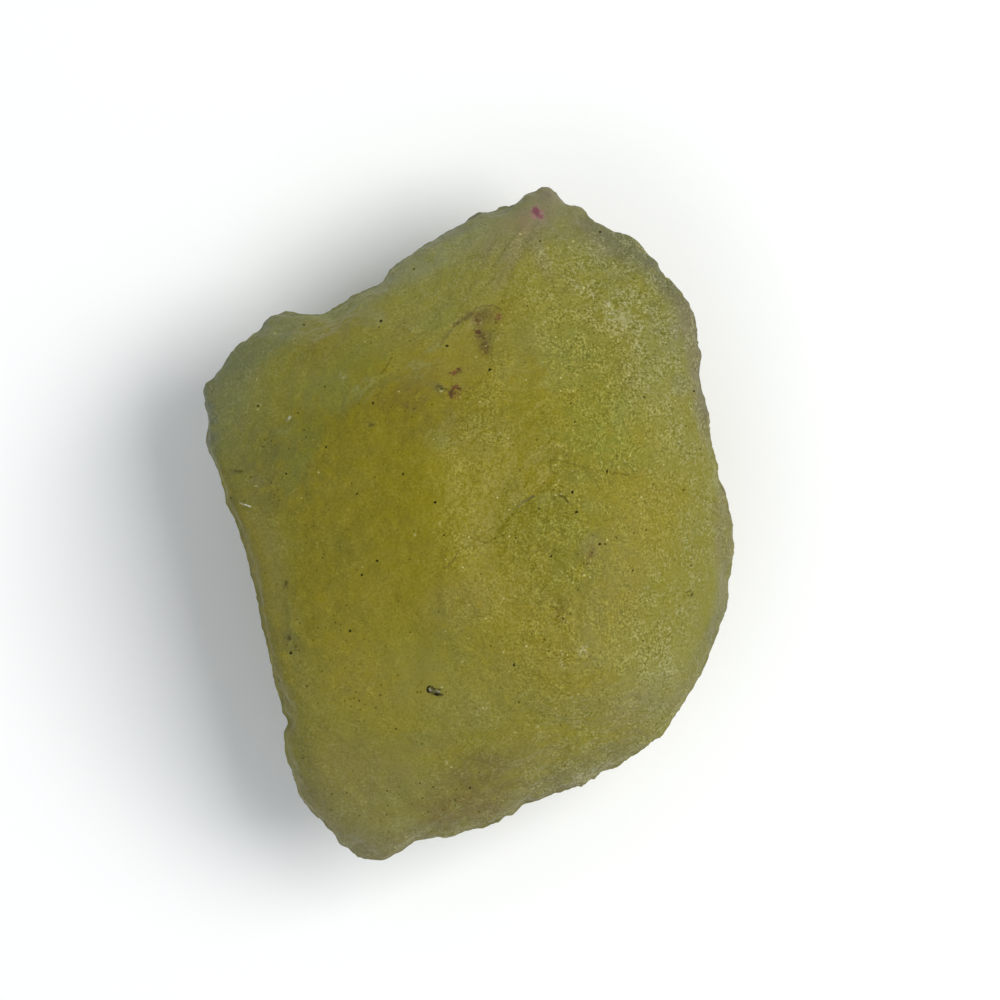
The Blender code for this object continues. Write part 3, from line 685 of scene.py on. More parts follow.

# Colours of the stone, from its thin rims to its thick middle. The hollow colour is painted shade in
# hollows and the edge colour painted shade on the upright rim. The grain colours are partly the
# frost's own grain and partly painted highlight, and the gap colour partly painted shade. The bright
# colour of the specks on frosted stone is painted glints
RIM_COLOUR = (0.212, 0.208, 0.118, 1.0)
OLIVE_COLOUR = (0.236, 0.220, 0.028, 1.0)
MUSTARD_COLOUR = (0.266, 0.214, 0.004, 1.0)
FROST_COLOUR = (0.260, 0.244, 0.012, 1.0)
WORN_COLOUR = (0.270, 0.265, 0.125, 1.0)
HOLLOW_SHADE_COLOUR = (0.130, 0.118, 0.020, 1.0)
GRAIN_HIGHLIGHT_COLOUR = (0.460, 0.440, 0.220, 1.0)
DEEP_GRAIN_HIGHLIGHT_COLOUR = (0.425, 0.392, 0.070, 1.0)
GAP_SHADE_COLOUR = (0.112, 0.110, 0.000, 1.0)
HAZE_COLOUR = (0.150, 0.129, 0.022, 1.0)
EDGE_SHADE_COLOUR = (0.060, 0.062, 0.045, 1.0)
GLINT_COLOUR = (0.600, 0.550, 0.230, 1.0)
DARK_COLOUR = (0.034, 0.028, 0.003, 1.0)

# What all of the stone has in common: how it bends and mirrors light, how cloudy it is, how far
# light spreads in it for red, green and blue, how much goes straight through, and what it absorbs
STONE_IOR = 1.62
SURFACE_SHINE = 0.10
CLOUD_SHARE = 0.22
CLOUD_RADIUS = (1.0, 0.9, 0.35)
CLOUD_SCALE = 0.35 * MM
SEE_THROUGH = 0.15
ABSORB_COLOUR = (0.62, 0.56, 0.10, 1.0)
ABSORB_DENSITY = 160.0

# What the dirt and painted glints on the stone and the floor have in common
MATT = 0.9
MATT_SHINE = 0.1

# Soft noise over the skin: the size of its lumps in millimetres, how many finer layers it has
# and how strong those are. It runs from 0 to 1 round its middle
Lumps = namedtuple("Lumps", "spacing detail rough")
NOISE_MIDDLE = 0.5
MOTTLE = Lumps(0.8, 3.0, 0.5)
SUGAR_PATCHES = Lumps(1.0, 2.0, 0.5)
GRAIN = Lumps(0.15, 2.0, 0.65)
COARSE_GRAIN = Lumps(0.45, 2.0, 0.6)
CURLS = Lumps(0.20, 1.0, 0.5)
FLECK_GRAIN = Lumps(0.17, 2.0, 0.65)
WOBBLE = Lumps(0.20, 1.0, 0.5)

# A layer of the finish: the values between which it comes to show, and how much of what is under
# it it hides where it shows most
Layer = namedtuple("Layer", "low high share")
OLIVE_LAYER = Layer(0.10, 0.55, 1.0)
MUSTARD_LAYER = Layer(0.50, 0.95, 1.0)
FROST_LAYER = Layer(0.35, 0.70, 0.5)
WORN_LAYER = Layer(0.25, 1.2, 0.3)
HOLLOW_SHADE_LAYER = Layer(-0.15, -0.9, 0.6)
HAZE_LAYER = Layer(0.42, 0.66, 0.34)
TINT_LAYER = Layer(0.05, 0.60, 1.0)
SUGAR_LAYER = Layer(0.38, 0.60, 1.0)
DEEP_GLOW_LAYER = Layer(0.55, 0.95, 1.0)
HIGH_GRAIN_LAYER = Layer(0.50, 0.65, 1.0)
LOW_GRAIN_LAYER = Layer(0.50, 0.35, 1.0)
CURL_LINE_LAYER = Layer(0.0, 0.0028, 1.0)
CURL_PATCH_LAYER = Layer(0.46, 0.60, 1.0)
EDGE_SHADE_LAYER = Layer(0.30, 0.65, 0.22)
PIT_LAYER = Layer(0.84, 0.96, 1.0)
GLINT_LAYER = Layer(0.0, 0.06, 0.55)
FLECK_LAYER = Layer(0.76, 0.90, 1.0)
STAIN_LAYER = Layer(0.30, 0.55, 1.0)

# The places of a Mix node's sockets where it mixes colours
MIX_SHARE = 0
MIX_UNDER = 6
MIX_OVER = 7
MIX_RESULT = 2

# How much depth and flecks follow the mottle, and pits and painted glints follow dust and frost
DEPTH_MOTTLE = 0.25
FLECK_MOTTLE = 0.6
PIT_DUST = 0.65
GLINT_FROST = 0.35

# Amounts on waxy stone and on sugary stone: how sugary frost is between and in its patches, how
# much the grain and its curls show, how rough the surface is and how high its bumps are, in mm
SUGAR_AMOUNTS = (0.3, 1.0)
HIGH_GRAIN_AMOUNTS = (0.05, 0.87)
LOW_GRAIN_AMOUNTS = (0.17, 0.83)
CURL_AMOUNTS = (0.04, 0.54)
ROUGHNESSES = (0.42, 0.54)
COARSE_BUMPS = (0.02, 0.24)
GRAIN_BUMPS = (0.008, 0.068)
MOTTLE_BUMP = 0.05
MOTTLE_ROUGHNESS = 0.3
RIM_ROUGHNESS = 0.40

# Specks: how far apart they are in millimetres, how large and how blurred in shares of that and
# of their size, and how dark
SPECK_SPACING = 0.34
SPECK_SIZES = (0.07, 0.20)
SPECK_BLUR = (0.7, 1.3)
SPECK_DARKNESS = (0.25, 0.85)

# Marks: how far their edge is bent and where it blurs, in their own oval. The least cover keeps
# the share of a layer in what hides the stone from dividing by 0
MARK_WOBBLE = 1.6
MARK_EDGE = (0.65, 1.30)
LEAST_COVER = 0.001

# A soft box: where it stands seen from the stone, in degrees round from +X and up from level,
# its distance and side in metres, its power in watts and its colour
SoftBox = namedtuple("SoftBox", "name around up distance side power colour")
SOFT_BOXES = (
    SoftBox("key light", 10, 57, 0.55, 0.34, 2.36, (1.0, 0.99, 0.95)),
    SoftBox("fill light", 235, 50, 0.60, 0.50, 0.55, (0.92, 0.96, 1.0)),
)

# How often light is thrown on, the floor's half side in metres and its colour, the sky's light,
# its look to the camera, and how near and far the camera sees
LIGHT_BOUNCES = 5
FLOOR_HALF_SIDE = 1.5
FLOOR_COLOUR = (0.94, 0.94, 0.94, 1.0)
SKY_COLOUR = (0.90, 0.95, 1.0, 1.0)
SKY_STRENGTH = 0.49
BACKDROP_STRENGTH = 0.95
BACKDROP_COLOUR = (1.0, 1.0, 1.0, 1.0)
CAMERA_SEES = (10 * MM, 10.0)


def photo_pixels(points):
    """Where the photograph's camera sees points, as an array of pixels."""
    nearness = CAMERA_DISTANCE / (CAMERA_DISTANCE + AIM.z - points[:, 2])
    across = AIM_PIXEL[0] + (points[:, 0] - AIM.x) * nearness / PIXEL
    down = AIM_PIXEL[1] - (points[:, 1] - AIM.y) * nearness / PIXEL
    return np.stack((across, down), axis=1)


def soft_step(values, low, high):
    """0 below low, 1 above high, and a smooth rise between."""
    share = np.clip((values - low) / (high - low), 0.0, 1.0)
    return share * share * (3.0 - 2.0 * share)


def between(share, ends):
    """The number, or numbers, that lie a share of the way from the first end to the second."""
    low, high = ends
    return share * (high - low) + low


def noise_at(points, spacing, shift=0.0):
    """Soft noise from -1 to 1 at each point, with lumps about one spacing apart. Each shift gives
    another noise."""
    offset = Vector((shift, -shift, 2.0 * shift))
    return np.array([noise.noise(Vector(point) / spacing + offset) for point in points])


def folds_at(points, spacing):
    """Sharp-edged folds about one spacing apart, from about -1 to 1 at each point."""
    heights = [
        noise.ridged_multi_fractal(
            Vector(point) / spacing, FOLD_FADE, FOLD_FINENESS, FOLD_OCTAVES, FOLD_LEVEL, FOLD_GAIN
        )
        for point in points
    ]
    return np.clip(np.array(heights) - FOLD_LEVEL, -1.0, 1.0)


def in_oval(pixels, oval):
    """Pixels in an oval's own frame, where its rim is at a distance of 1."""
    turn = math.radians(oval.turn)
    away = pixels - np.array(oval.middle)
    along = away[:, 0] * math.cos(turn) + away[:, 1] * math.sin(turn)
    aside = away[:, 1] * math.cos(turn) - away[:, 0] * math.sin(turn)
    return np.stack((along / oval.reach[0], aside / oval.reach[1]), axis=1)


def cover(pixels, oval):
    """1 in the middle of a soft oval, 0 outside it."""
    return 1.0 - soft_step(np.linalg.norm(in_oval(pixels, oval), axis=1), *PATCH_EDGE)


def make_ball():
    """A ball of triangles round the stone's middle, finer on all but its lower part."""
    ball = bmesh.new()
    bmesh.ops.create_icosphere(ball, subdivisions=COARSE_SUBDIVISIONS, radius=1.0)
    bmesh.ops.subdivide_edges(ball, edges=ball.edges[:], cuts=EXTRA_CUTS, use_grid_fill=True)
    upper = [edge for edge in ball.edges if min(corner.co.z for corner in edge.verts) > UPPER_PART]
    bmesh.ops.subdivide_edges(ball, edges=upper, cuts=1, use_grid_fill=True)
    bmesh.ops.triangulate(ball, faces=ball.faces[:])
    return ball


def solid_surface():
    """The CAD stone's surface, merged, to cast rays at."""
    solid = bmesh.new()
    solid.from_mesh(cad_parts["topaz"].data)
    bmesh.ops.remove_doubles(solid, verts=solid.verts[:], dist=MERGE)
    surface = BVHTree.FromBMesh(solid)
    solid.free()
    return surface


def wrap_skin(surface):
    """The ball pushed out along rays until it lies on the CAD stone, then smoothed."""
    skin = make_ball()
    for corner in skin.verts:
        spoke = corner.co.normalized()
        ray = Vector(part * radius for part, radius in zip(spoke, BALL_RADII)).normalized()
        corner.co = surface.ray_cast(HEART, ray)[0]
    for _ in range(SMOOTH_PASSES):
        loose = [corner for corner in skin.verts if corner.co.z > FLAT_BASE]
        bmesh.ops.smooth_vert(
            skin, verts=loose, factor=SMOOTH_FACTOR, use_axis_x=True, use_axis_y=True, use_axis_z=True
        )
    return skin


class Skin:
    """The skin's points, normals and edges as arrays, and what is read from them."""

    def __init__(self, mesh):
        mesh.normal_update()
        mesh.verts.index_update()
        self.points = np.array([corner.co[:] for corner in mesh.verts])
        self.normals = np.array([corner.normal[:] for corner in mesh.verts])
        self.edges = np.array([[corner.index for corner in edge.verts] for edge in mesh.edges])
        self.degree = np.bincount(self.edges.ravel(), minlength=len(self.points))
        self.pixels = photo_pixels(self.points)
        self.on_top = soft_step(self.normals[:, 2], *TOP_SLOPES)
        self.tinted = soft_step(self.normals[:, 2], *TINT_SLOPES)
        self.off_base = soft_step(self.points[:, 2], FLAT_BASE, RELIEF_FULL)
        self.at_girdle = 1.0 - soft_step(np.abs(self.points[:, 2] - AIM.z), 0.0, RAGGED_REACH)
        self.upright = 1.0 - soft_step(np.abs(self.normals[:, 2]), *CORNER_SLOPES)

    def evened(self, values, passes):
        """Values averaged with their neighbours' some times over."""
        one, other = self.edges[:, 0], self.edges[:, 1]
        for _ in range(passes):
            total = np.bincount(one, values[other], len(values))
            total += np.bincount(other, values[one], len(values))
            values = (values + total / self.degree) / 2
        return values

    def wear_and_hollow_shade(self):
        """From -1 in hollows to 1 on edges."""
        even = [self.evened(self.points[:, axis], EDGE_AND_HOLLOW_PASSES) for axis in range(3)]
        proud = np.sum((self.points - np.stack(even, axis=1)) * self.normals, axis=1)
        return np.clip(proud / EDGE_AND_HOLLOW_FULL, -1.0, 1.0) * between(self.at_girdle, EDGE_AND_HOLLOW_SHARES)

    def depth(self, surface):
        """How deep the stone is behind each point, from 0 to 1."""
        fan = []
        for number in range(DEPTH_RAYS):
            around = number * GOLDEN_ANGLE
            lean = DEPTH_SPREAD * math.sqrt(number / DEPTH_RAYS)
            fan.append(Vector((math.cos(around) * lean, math.sin(around) * lean, 1.0)).normalized())
        lengths = []
        for point, normal in zip(self.points, self.normals):
            inward = -Vector(normal)
            turn = inward.to_track_quat("Z", "Y")
            start = Vector(point) + inward * FLAT_BASE
            total = 0.0
            for ray in fan:
                reach = surface.ray_cast(start, turn @ ray, DEPTH_FULL)[3]
                total += DEPTH_FULL if reach is None else reach
            upright = Vector((0.0, 0.0, math.copysign(1.0, inward.z)))
            reach = surface.ray_cast(start, upright, DEPTH_FULL)[3]
            through = DEPTH_FULL if reach is None else reach
            lengths.append(between(DOWN_SHARE, (total / DEPTH_RAYS, through)) / DEPTH_FULL)
        depth = self.evened(np.array(lengths), DEPTH_PASSES)
        depth += CLOUD_CHANGE * noise_at(self.points, CLOUD_SPACING, shift=8.0)
        under = UNDER_CLOUD_CHANGE * noise_at(self.points, UNDER_CLOUD_SPACING, shift=11.0) - UNDER_PALE
        depth += under * (1.0 - self.on_top)
        for patch in DEPTH_PATCHES:
            depth += patch.strength * cover(self.pixels, patch) * self.on_top
        return np.clip(depth, 0.0, 1.0)

    def frost(self):
        """How frosted the skin is, from 0 to 1."""
        ridge = np.array(RIDGE)
        beside = self.pixels[:, 0] - np.interp(self.pixels[:, 1], ridge[:, 1], ridge[:, 0])
        beside += RIDGE_SWAY * noise_at(self.points, RIDGE_SWAY_SPACING, shift=3.0)
        top = between(soft_step(beside, *RIDGE_BLUR), FROST_BESIDE_RIDGE)
        for patch in FROST_PATCHES:
            top += patch.strength * cover(self.pixels, patch)
        under = FROST_UNDER + FROST_UNDER_CHANGE * noise_at(self.points, FROST_UNDER_SPACING, shift=7.0)
        return np.clip(between(self.on_top, (under, top)), 0.0, 1.0)

    def dust(self):
        """How thick the dust pits lie, from 0 to 1."""
        dust = DUST_EVERYWHERE + DUST_CHANGE * noise_at(self.points, DUST_SPACING, shift=9.0)
        for patch in DUST_PATCHES:
            dust += patch.strength * cover(self.pixels, patch) * self.on_top
        return np.clip(dust, 0.0, 1.0)

    def rim(self):
        """How near to upright the skin is, which is all that shows of the stone's edge from above."""
        return 1.0 - soft_step(np.abs(self.normals[:, 2]), *RIM_SLOPES)

    def tint(self, tints):
        """Red, green, blue and strength of tints laid over one another."""
        painted = np.zeros((len(self.points), 4))
        for tint in tints:
            share = tint.strength * cover(self.pixels, tint) * self.tinted
            total = np.maximum(painted[:, 3] + share, LEAST_SHARE)
            blend = (share / total)[:, None]
            painted[:, :3] += (np.array(tint.colour) - painted[:, :3]) * blend
            painted[:, 3] = 1.0 - (1.0 - painted[:, 3]) * (1.0 - share)
        return painted


def grooves(skin):
    """How far the creases and cracks cut into the skin, at each point."""
    cut = np.zeros(len(skin.points))
    bend = 1.0 + GROOVE_BEND * noise_at(skin.points, GROOVE_BEND_SPACING, shift=6.0)
    broken = np.clip(GROOVE_KEPT + noise_at(skin.points, GROOVE_BREAK_SPACING, shift=12.0), 0.0, 1.0)
    for groove in GROOVES:
        nearest = np.full(len(skin.points), PICTURE_SIDE, float)
        for start, end in zip(groove.course, groove.course[1:]):
            start, side = np.array(start), np.subtract(end, start)
            share = np.clip((skin.pixels - start) @ side / (side @ side), 0.0, 1.0)
            away = np.linalg.norm(skin.pixels - start - share[:, None] * side, axis=1)
            nearest = np.minimum(nearest, away)
        cut += groove.depth * (1.0 - soft_step(nearest * bend, 0.0, groove.half_width))
    return cut * broken * skin.on_top


def growth_lines(skin):
    """Height of the faint lines on the upper left slope."""
    turn = math.radians(LINE_TURN)
    along = skin.points[:, 0] * math.cos(turn) + skin.points[:, 1] * math.sin(turn)
    aside = skin.points[:, 1] * math.cos(turn) - skin.points[:, 0] * math.sin(turn)
    drawn = np.stack((along / LINE_LENGTH, aside / LINE_WIDTH, skin.points[:, 2] / LINE_LENGTH), axis=1)
    return LINE_HEIGHT * noise_at(drawn, spacing=1.0) * cover(skin.pixels, LINE_PATCH) * skin.on_top


def girdle_corners(skin):
    """How far each point moves level outwards, for the corners and notches of the girdle."""
    out = np.zeros(len(skin.points))
    for corner in GIRDLE_CORNERS:
        away = np.linalg.norm(skin.pixels - np.array(corner.middle), axis=1)
        out += corner.out * PIXEL * (1.0 - soft_step(away, 0.0, corner.reach))
    outwards = skin.normals * np.array((1.0, 1.0, 0.0))
    return outwards * (out * skin.upright)[:, None]


def chips(skin, wear_and_hollow_shade):
    """How far small chips cut into the edges, at each point."""
    rng = random.Random(CHIP_SEED)
    tree = kdtree.KDTree(len(skin.points))
    for index, point in enumerate(skin.points):
        tree.insert(point, index)
    tree.balance()
    edge_points = np.flatnonzero((wear_and_hollow_shade > CHIPPED_EDGES) & (skin.at_girdle > CHIPPED_GIRDLE))
    bend = 1.0 + CHIP_BEND * noise_at(skin.points, CHIP_RADII[0], shift=5.0)
    cut = np.zeros(len(skin.points))
    for _ in range(CHIP_COUNT):
        middle = int(rng.choice(edge_points))
        radius = rng.uniform(*CHIP_RADII)
        depth = radius * CHIP_DEPTH * rng.uniform(*CHIP_DEPTH_CHANGE)
        for _, index, distance in tree.find_range(skin.points[middle], radius):
            bowl = min(max(1.0 - (distance * bend[index] / radius) ** 2, 0.0) / CHIP_WEAR, 1.0)
            cut[index] = max(cut[index], depth * bowl)
    return cut


def relief(skin, frost, wear_and_hollow_shade):
    """How far each point of the skin moves out, in metres."""
    uneven = UNEVEN_HEIGHT * noise_at(skin.points, UNEVEN_SPACING)
    dimples = DIMPLE_HEIGHT * noise_at(skin.points, DIMPLE_SPACING, shift=1.0)
    grain = GRAIN_HEIGHT * between(frost, GRAIN_SHARES) * noise_at(skin.points, GRAIN_SPACING, shift=2.0)
    folds = FOLD_HEIGHT * between(frost, FOLD_SHARES) * folds_at(skin.points, FOLD_SPACING)
    ragged = RAGGED_HEIGHT * skin.upright * noise_at(skin.points, RAGGED_SPACING, shift=4.0)
    crumbs = CRUMB_HEIGHT * skin.upright * noise_at(skin.points, CRUMB_SPACING, shift=10.0)
    raised = uneven + dimples + grain + folds + ragged + crumbs + growth_lines(skin)
    return (raised - grooves(skin) - chips(skin, wear_and_hollow_shade)) * skin.off_base


def dots(group, rng):
    """Round marks of slightly different sizes."""
    made = []
    for place in group.places:
        size = rng.uniform(*group.reach)
        sides = (size, size * rng.uniform(*DOT_SIDES))
        made.append(Mark(group.name, place, sides, rng.uniform(*DOT_TURNS), group.strength, group.colour))
    return made


def drawn(stroke, rng):
    """A stroke as a chain of short dashes of uneven strength."""
    made = []
    for start, end in zip(stroke.course, stroke.course[1:]):
        count = max(1, round(math.dist(start, end) / DASH_LENGTH))
        turn = math.degrees(math.atan2(end[1] - start[1], end[0] - start[0]))
        sides = (math.dist(start, end) / count / 2 + stroke.half_width, stroke.half_width)
        for number in range(count):
            share = (number + 0.5) / count
            middle = tuple(
                (1.0 - share) * one + share * other + rng.uniform(-DASH_SWAY, DASH_SWAY)
                for one, other in zip(start, end)
            )
            strength = min(stroke.strength * rng.uniform(*DASH_STRENGTHS), 1.0)
            made.append(Mark(stroke.name, middle, sides, turn, strength, stroke.colour))
    return made


def sharp_marks():
    """Every small sharp mark on the top of the stone, and the painted glints drawn as marks."""
    rng = random.Random(MARK_SEED)
    marks = []
    for group in DOTS:
        marks += dots(group, rng)
    for stroke in STROKES:
        marks += drawn(stroke, rng)
    return marks + list(LARGE_MARKS)


def store(mesh, name, kind, domain, values, field):
    """Keeps values on the mesh as a named attribute."""
    attribute = mesh.attributes.new(name, kind, domain)
    attribute.data.foreach_set(field, np.ascontiguousarray(values, dtype=np.float32).ravel())


def place_marks(mesh, name, marks):
    """Gives each face near a mark its corners' places in the mark's own oval, and its colour."""
    points = np.empty(len(mesh.vertices) * 3, np.float32)
    mesh.vertices.foreach_get("co", points)
    points = points.reshape(-1, 3).astype(float)
    corners = np.empty(len(mesh.loops), np.int32)
    mesh.loops.foreach_get("vertex_index", corners)
    pixels = photo_pixels(points)
    faces = corners.reshape(-1, 3)
    middles = pixels[faces].mean(axis=1)
    sides = points[faces]
    facing_up = np.cross(sides[:, 1] - sides[:, 0], sides[:, 2] - sides[:, 0])[:, 2] > 0.0
    nearest = np.full(len(faces), MARK_NEAR)
    place = np.full((len(faces), 3, 3), MARK_FAR)
    place[:, :, 2] = 0.0
    colour = np.zeros((len(faces), 3, 4))
    for mark in marks:
        gap = (np.linalg.norm(in_oval(middles, mark), axis=1) - 1.0) * min(mark.reach)
        close = np.flatnonzero(facing_up & (gap < nearest))
        nearest[close] = gap[close]
        for side in range(3):
            place[close, side, :2] = in_oval(pixels[faces[close, side]], mark)
        colour[close] = (*mark.colour, mark.strength)
    store(mesh, name + "_place", "FLOAT_VECTOR", "CORNER", place, "vector")
    store(mesh, name + "_colour", "FLOAT_COLOR", "CORNER", colour, "color")


def make_stone():
    """The stone's fine skin as one object, with what its finish reads kept on its mesh."""
    surface = solid_surface()
    shape = wrap_skin(surface)
    skin = Skin(shape)
    frost, wear_and_hollow_shade = skin.frost(), skin.wear_and_hollow_shade()
    moved = skin.points + girdle_corners(skin) + skin.normals * relief(skin, frost, wear_and_hollow_shade)[:, None]
    moved[:, 2] = np.maximum(moved[:, 2], 0.0)
    for corner, place in zip(shape.verts, moved):
        corner.co = place
    mesh = bpy.data.meshes.new("rough_stone")
    shape.to_mesh(mesh)
    shape.free()
    mesh.shade_smooth()
    store(mesh, "depth", "FLOAT", "POINT", skin.depth(surface), "value")
    store(mesh, "frost", "FLOAT", "POINT", frost, "value")
    store(mesh, "wear_and_hollow_shade", "FLOAT", "POINT", wear_and_hollow_shade, "value")
    store(mesh, "rim", "FLOAT", "POINT", skin.rim(), "value")
    store(mesh, "dust", "FLOAT", "POINT", skin.dust(), "value")
    store(mesh, "tint", "FLOAT_COLOR", "POINT", skin.tint(TINTS), "color")
    store(mesh, "fleck", "FLOAT_COLOR", "POINT", skin.tint(FLECKS), "color")
    place_marks(mesh, "stain", STAINS)
    place_marks(mesh, "mark", sharp_marks())
    stone = bpy.data.objects.new("rough_stone", mesh)
    bpy.context.scene.collection.objects.link(stone)
    return stone


class Reading:
    """What a node gives. A formula on numbers adds its Math nodes."""

    def __init__(self, finish, socket):
        self.finish = finish
        self.socket = socket

    def maths(self, operation, first, second):
        """What a new Math node makes of two numbers."""
        return self.finish.reading("ShaderNodeMath", {"operation": operation}, {0: first, 1: second})

    def __add__(self, other):
        return self.maths("ADD", self, other)

    def __radd__(self, other):
        return self.maths("ADD", other, self)

    def __sub__(self, other):
        return self.maths("SUBTRACT", self, other)

    def __rsub__(self, other):
        return self.maths("SUBTRACT", other, self)

    def __mul__(self, other):
        return self.maths("MULTIPLY", self, other)

    def __rmul__(self, other):
        return self.maths("MULTIPLY", other, self)

    def over(self, other):
        """This number as a share of another one, and 0 where both are 0."""
        return self.maths("DIVIDE", self, self.maths("MAXIMUM", other, LEAST_COVER))


class Finish:
    """The nodes of one material."""

    def __init__(self, name):
        self.material = bpy.data.materials.new(name)
        self.material.use_nodes = True
        self.nodes = self.material.node_tree.nodes
        self.links = self.material.node_tree.links
        self.nodes.clear()

    def node(self, kind, settings=None, inputs=None):
        """A node of a kind, with its settings, then the values or links of its sockets."""
        made = self.nodes.new(kind)
        for name, value in (settings or {}).items():
            setattr(made, name, value)
        for key, value in (inputs or {}).items():
            value = getattr(value, "socket", value)
            if isinstance(value, bpy.types.NodeSocket):
                self.links.new(value, made.inputs[key])
            else:
                made.inputs[key].default_value = value
        return made

    def reading(self, kind, settings=None, inputs=None, output=0):
        """What a new node gives: a number, a colour or a vector."""
        return Reading(self, self.node(kind, settings, inputs).outputs[output])

    def attribute(self, name, output="Fac"):
        """What the mesh keeps under a name."""
        return self.reading("ShaderNodeAttribute", {"attribute_name": name}, output=output)

    def rise(self, value, low, high):
        """0 below low, 1 above high, and a smooth rise between."""
        ends = {"Value": value, "From Min": low, "From Max": high}
        return self.reading("ShaderNodeMapRange", {"interpolation_type": "SMOOTHSTEP"}, ends)

    def shows(self, value, layer):
        """How much a layer hides of what is under it, where a value decides on it."""
        return self.rise(value, layer.low, layer.high) * layer.share

    def blend(self, share, under, over):
        """One colour laid over another."""
        colours = {MIX_SHARE: share, MIX_UNDER: under, MIX_OVER: over}
        return self.reading("ShaderNodeMix", {"data_type": "RGBA"}, colours, MIX_RESULT)

    def noise(self, place, lumps, output="Fac"):
        """Soft noise over the skin."""
        inputs = {
            "Vector": place,
            "Scale": 1.0 / lumps.spacing,
            "Detail": lumps.detail,
            "Roughness": lumps.rough,
        }
        return self.reading("ShaderNodeTexNoise", None, inputs, output)

    def vector(self, operation, first, second=None, output=0):
        """Maths on a vector."""
        inputs = {0: first} if second is None else {0: first, 1: second}
        return self.reading("ShaderNodeVectorMath", {"operation": operation}, inputs, output)

    def cells(self, place, spacing):
        """Scattered seeds about one spacing apart: the distance to the nearest, and its own colour."""
        inputs = {"Vector": place, "Scale": 1.0 / spacing}
        made = self.node("ShaderNodeTexVoronoi", None, inputs)
        return Reading(self, made.outputs["Distance"]), Reading(self, made.outputs["Color"])

    def parts(self, colour):
        """The three numbers of a colour."""
        made = self.node("ShaderNodeSeparateColor", None, {0: colour})
        return [Reading(self, socket) for socket in made.outputs]


def stone_colour(finish, mottle, patchy, grain, curls, frost):
    """The stone's colour from its depth, frost, grain, rubbed edges and tints. Hollows and the upright
    rim are painted shade, and the grain's pale tops and curls and its dark gaps are partly painted
    highlight and shade.
    """
    depth = finish.attribute("depth") + (mottle - NOISE_MIDDLE) * DEPTH_MOTTLE
    colour = finish.blend(finish.shows(depth, OLIVE_LAYER), RIM_COLOUR, OLIVE_COLOUR)
    colour = finish.blend(finish.shows(depth, MUSTARD_LAYER), colour, MUSTARD_COLOUR)
    colour = finish.blend(frost * finish.shows(mottle, FROST_LAYER), colour, FROST_COLOUR)
    wear_and_hollow_shade = finish.attribute("wear_and_hollow_shade") + (mottle - NOISE_MIDDLE)
    colour = finish.blend(finish.shows(wear_and_hollow_shade, WORN_LAYER), colour, WORN_COLOUR)
    # Painted shade: the hollows of the skin are darkened
    colour = finish.blend(finish.shows(wear_and_hollow_shade, HOLLOW_SHADE_LAYER), colour, HOLLOW_SHADE_COLOUR)
    haze = finish.attribute("dust") * finish.shows(mottle, HAZE_LAYER)
    colour = finish.blend(haze, colour, HAZE_COLOUR)
    tinted = finish.attribute("tint", "Alpha") * finish.shows(mottle, TINT_LAYER)
    colour = finish.blend(tinted, colour, finish.attribute("tint", "Color"))

    sugary = frost * between(patchy, SUGAR_AMOUNTS)
    # The grain's pale tops and curls are partly painted highlight, and its dark gaps partly painted shade
    grain_highlight = finish.blend(finish.shows(depth, DEEP_GLOW_LAYER), GRAIN_HIGHLIGHT_COLOUR, DEEP_GRAIN_HIGHLIGHT_COLOUR)
    high = finish.shows(grain, HIGH_GRAIN_LAYER) * between(sugary, HIGH_GRAIN_AMOUNTS)
    colour = finish.blend(high, colour, grain_highlight)
    low = finish.shows(grain, LOW_GRAIN_LAYER) * between(sugary, LOW_GRAIN_AMOUNTS)
    colour = finish.blend(low, colour, GAP_SHADE_COLOUR)
    colour = finish.blend(curls * between(sugary, CURL_AMOUNTS), colour, grain_highlight)
    # Painted shade: the upright rim is darkened
    edge = finish.attribute("rim") * finish.shows(mottle, EDGE_SHADE_LAYER)
    return finish.blend(edge, colour, EDGE_SHADE_COLOUR)


def specks(finish, place, frost):
    """Tiny dark pits where dust lies, and tiny painted glints where the stone is frosted."""
    distance, colour = finish.cells(place, SPECK_SPACING)
    chance, dark, large = finish.parts(colour)
    size = between(large, SPECK_SIZES)
    near = 1.0 - finish.rise(distance, *(size * end for end in SPECK_BLUR))
    dusty = chance + finish.attribute("dust") * PIT_DUST
    pits = near * finish.shows(dusty, PIT_LAYER) * between(dark * dark, SPECK_DARKNESS)
    # Painted glints: bright specks where the stone is frosted
    painted_glints = near * finish.shows(frost * GLINT_FROST - chance, GLINT_LAYER)
    return pits, painted_glints


def small_marks(finish, place, name):
    """One layer of named marks: how much of the stone each hides, and its colour."""
    wobble = finish.vector("SUBTRACT", finish.noise(place, WOBBLE, "Color"), (NOISE_MIDDLE,) * 3)
    bent = finish.vector("MULTIPLY", wobble, (MARK_WOBBLE, MARK_WOBBLE, 0.0))
    place_in_mark = finish.vector("ADD", finish.attribute(name + "_place", "Vector"), bent)
    reach = finish.vector("LENGTH", place_in_mark, output="Value")
    shown = (1.0 - finish.rise(reach, *MARK_EDGE)) * finish.attribute(name + "_colour", "Alpha")
    return shown, finish.attribute(name + "_colour", "Color")


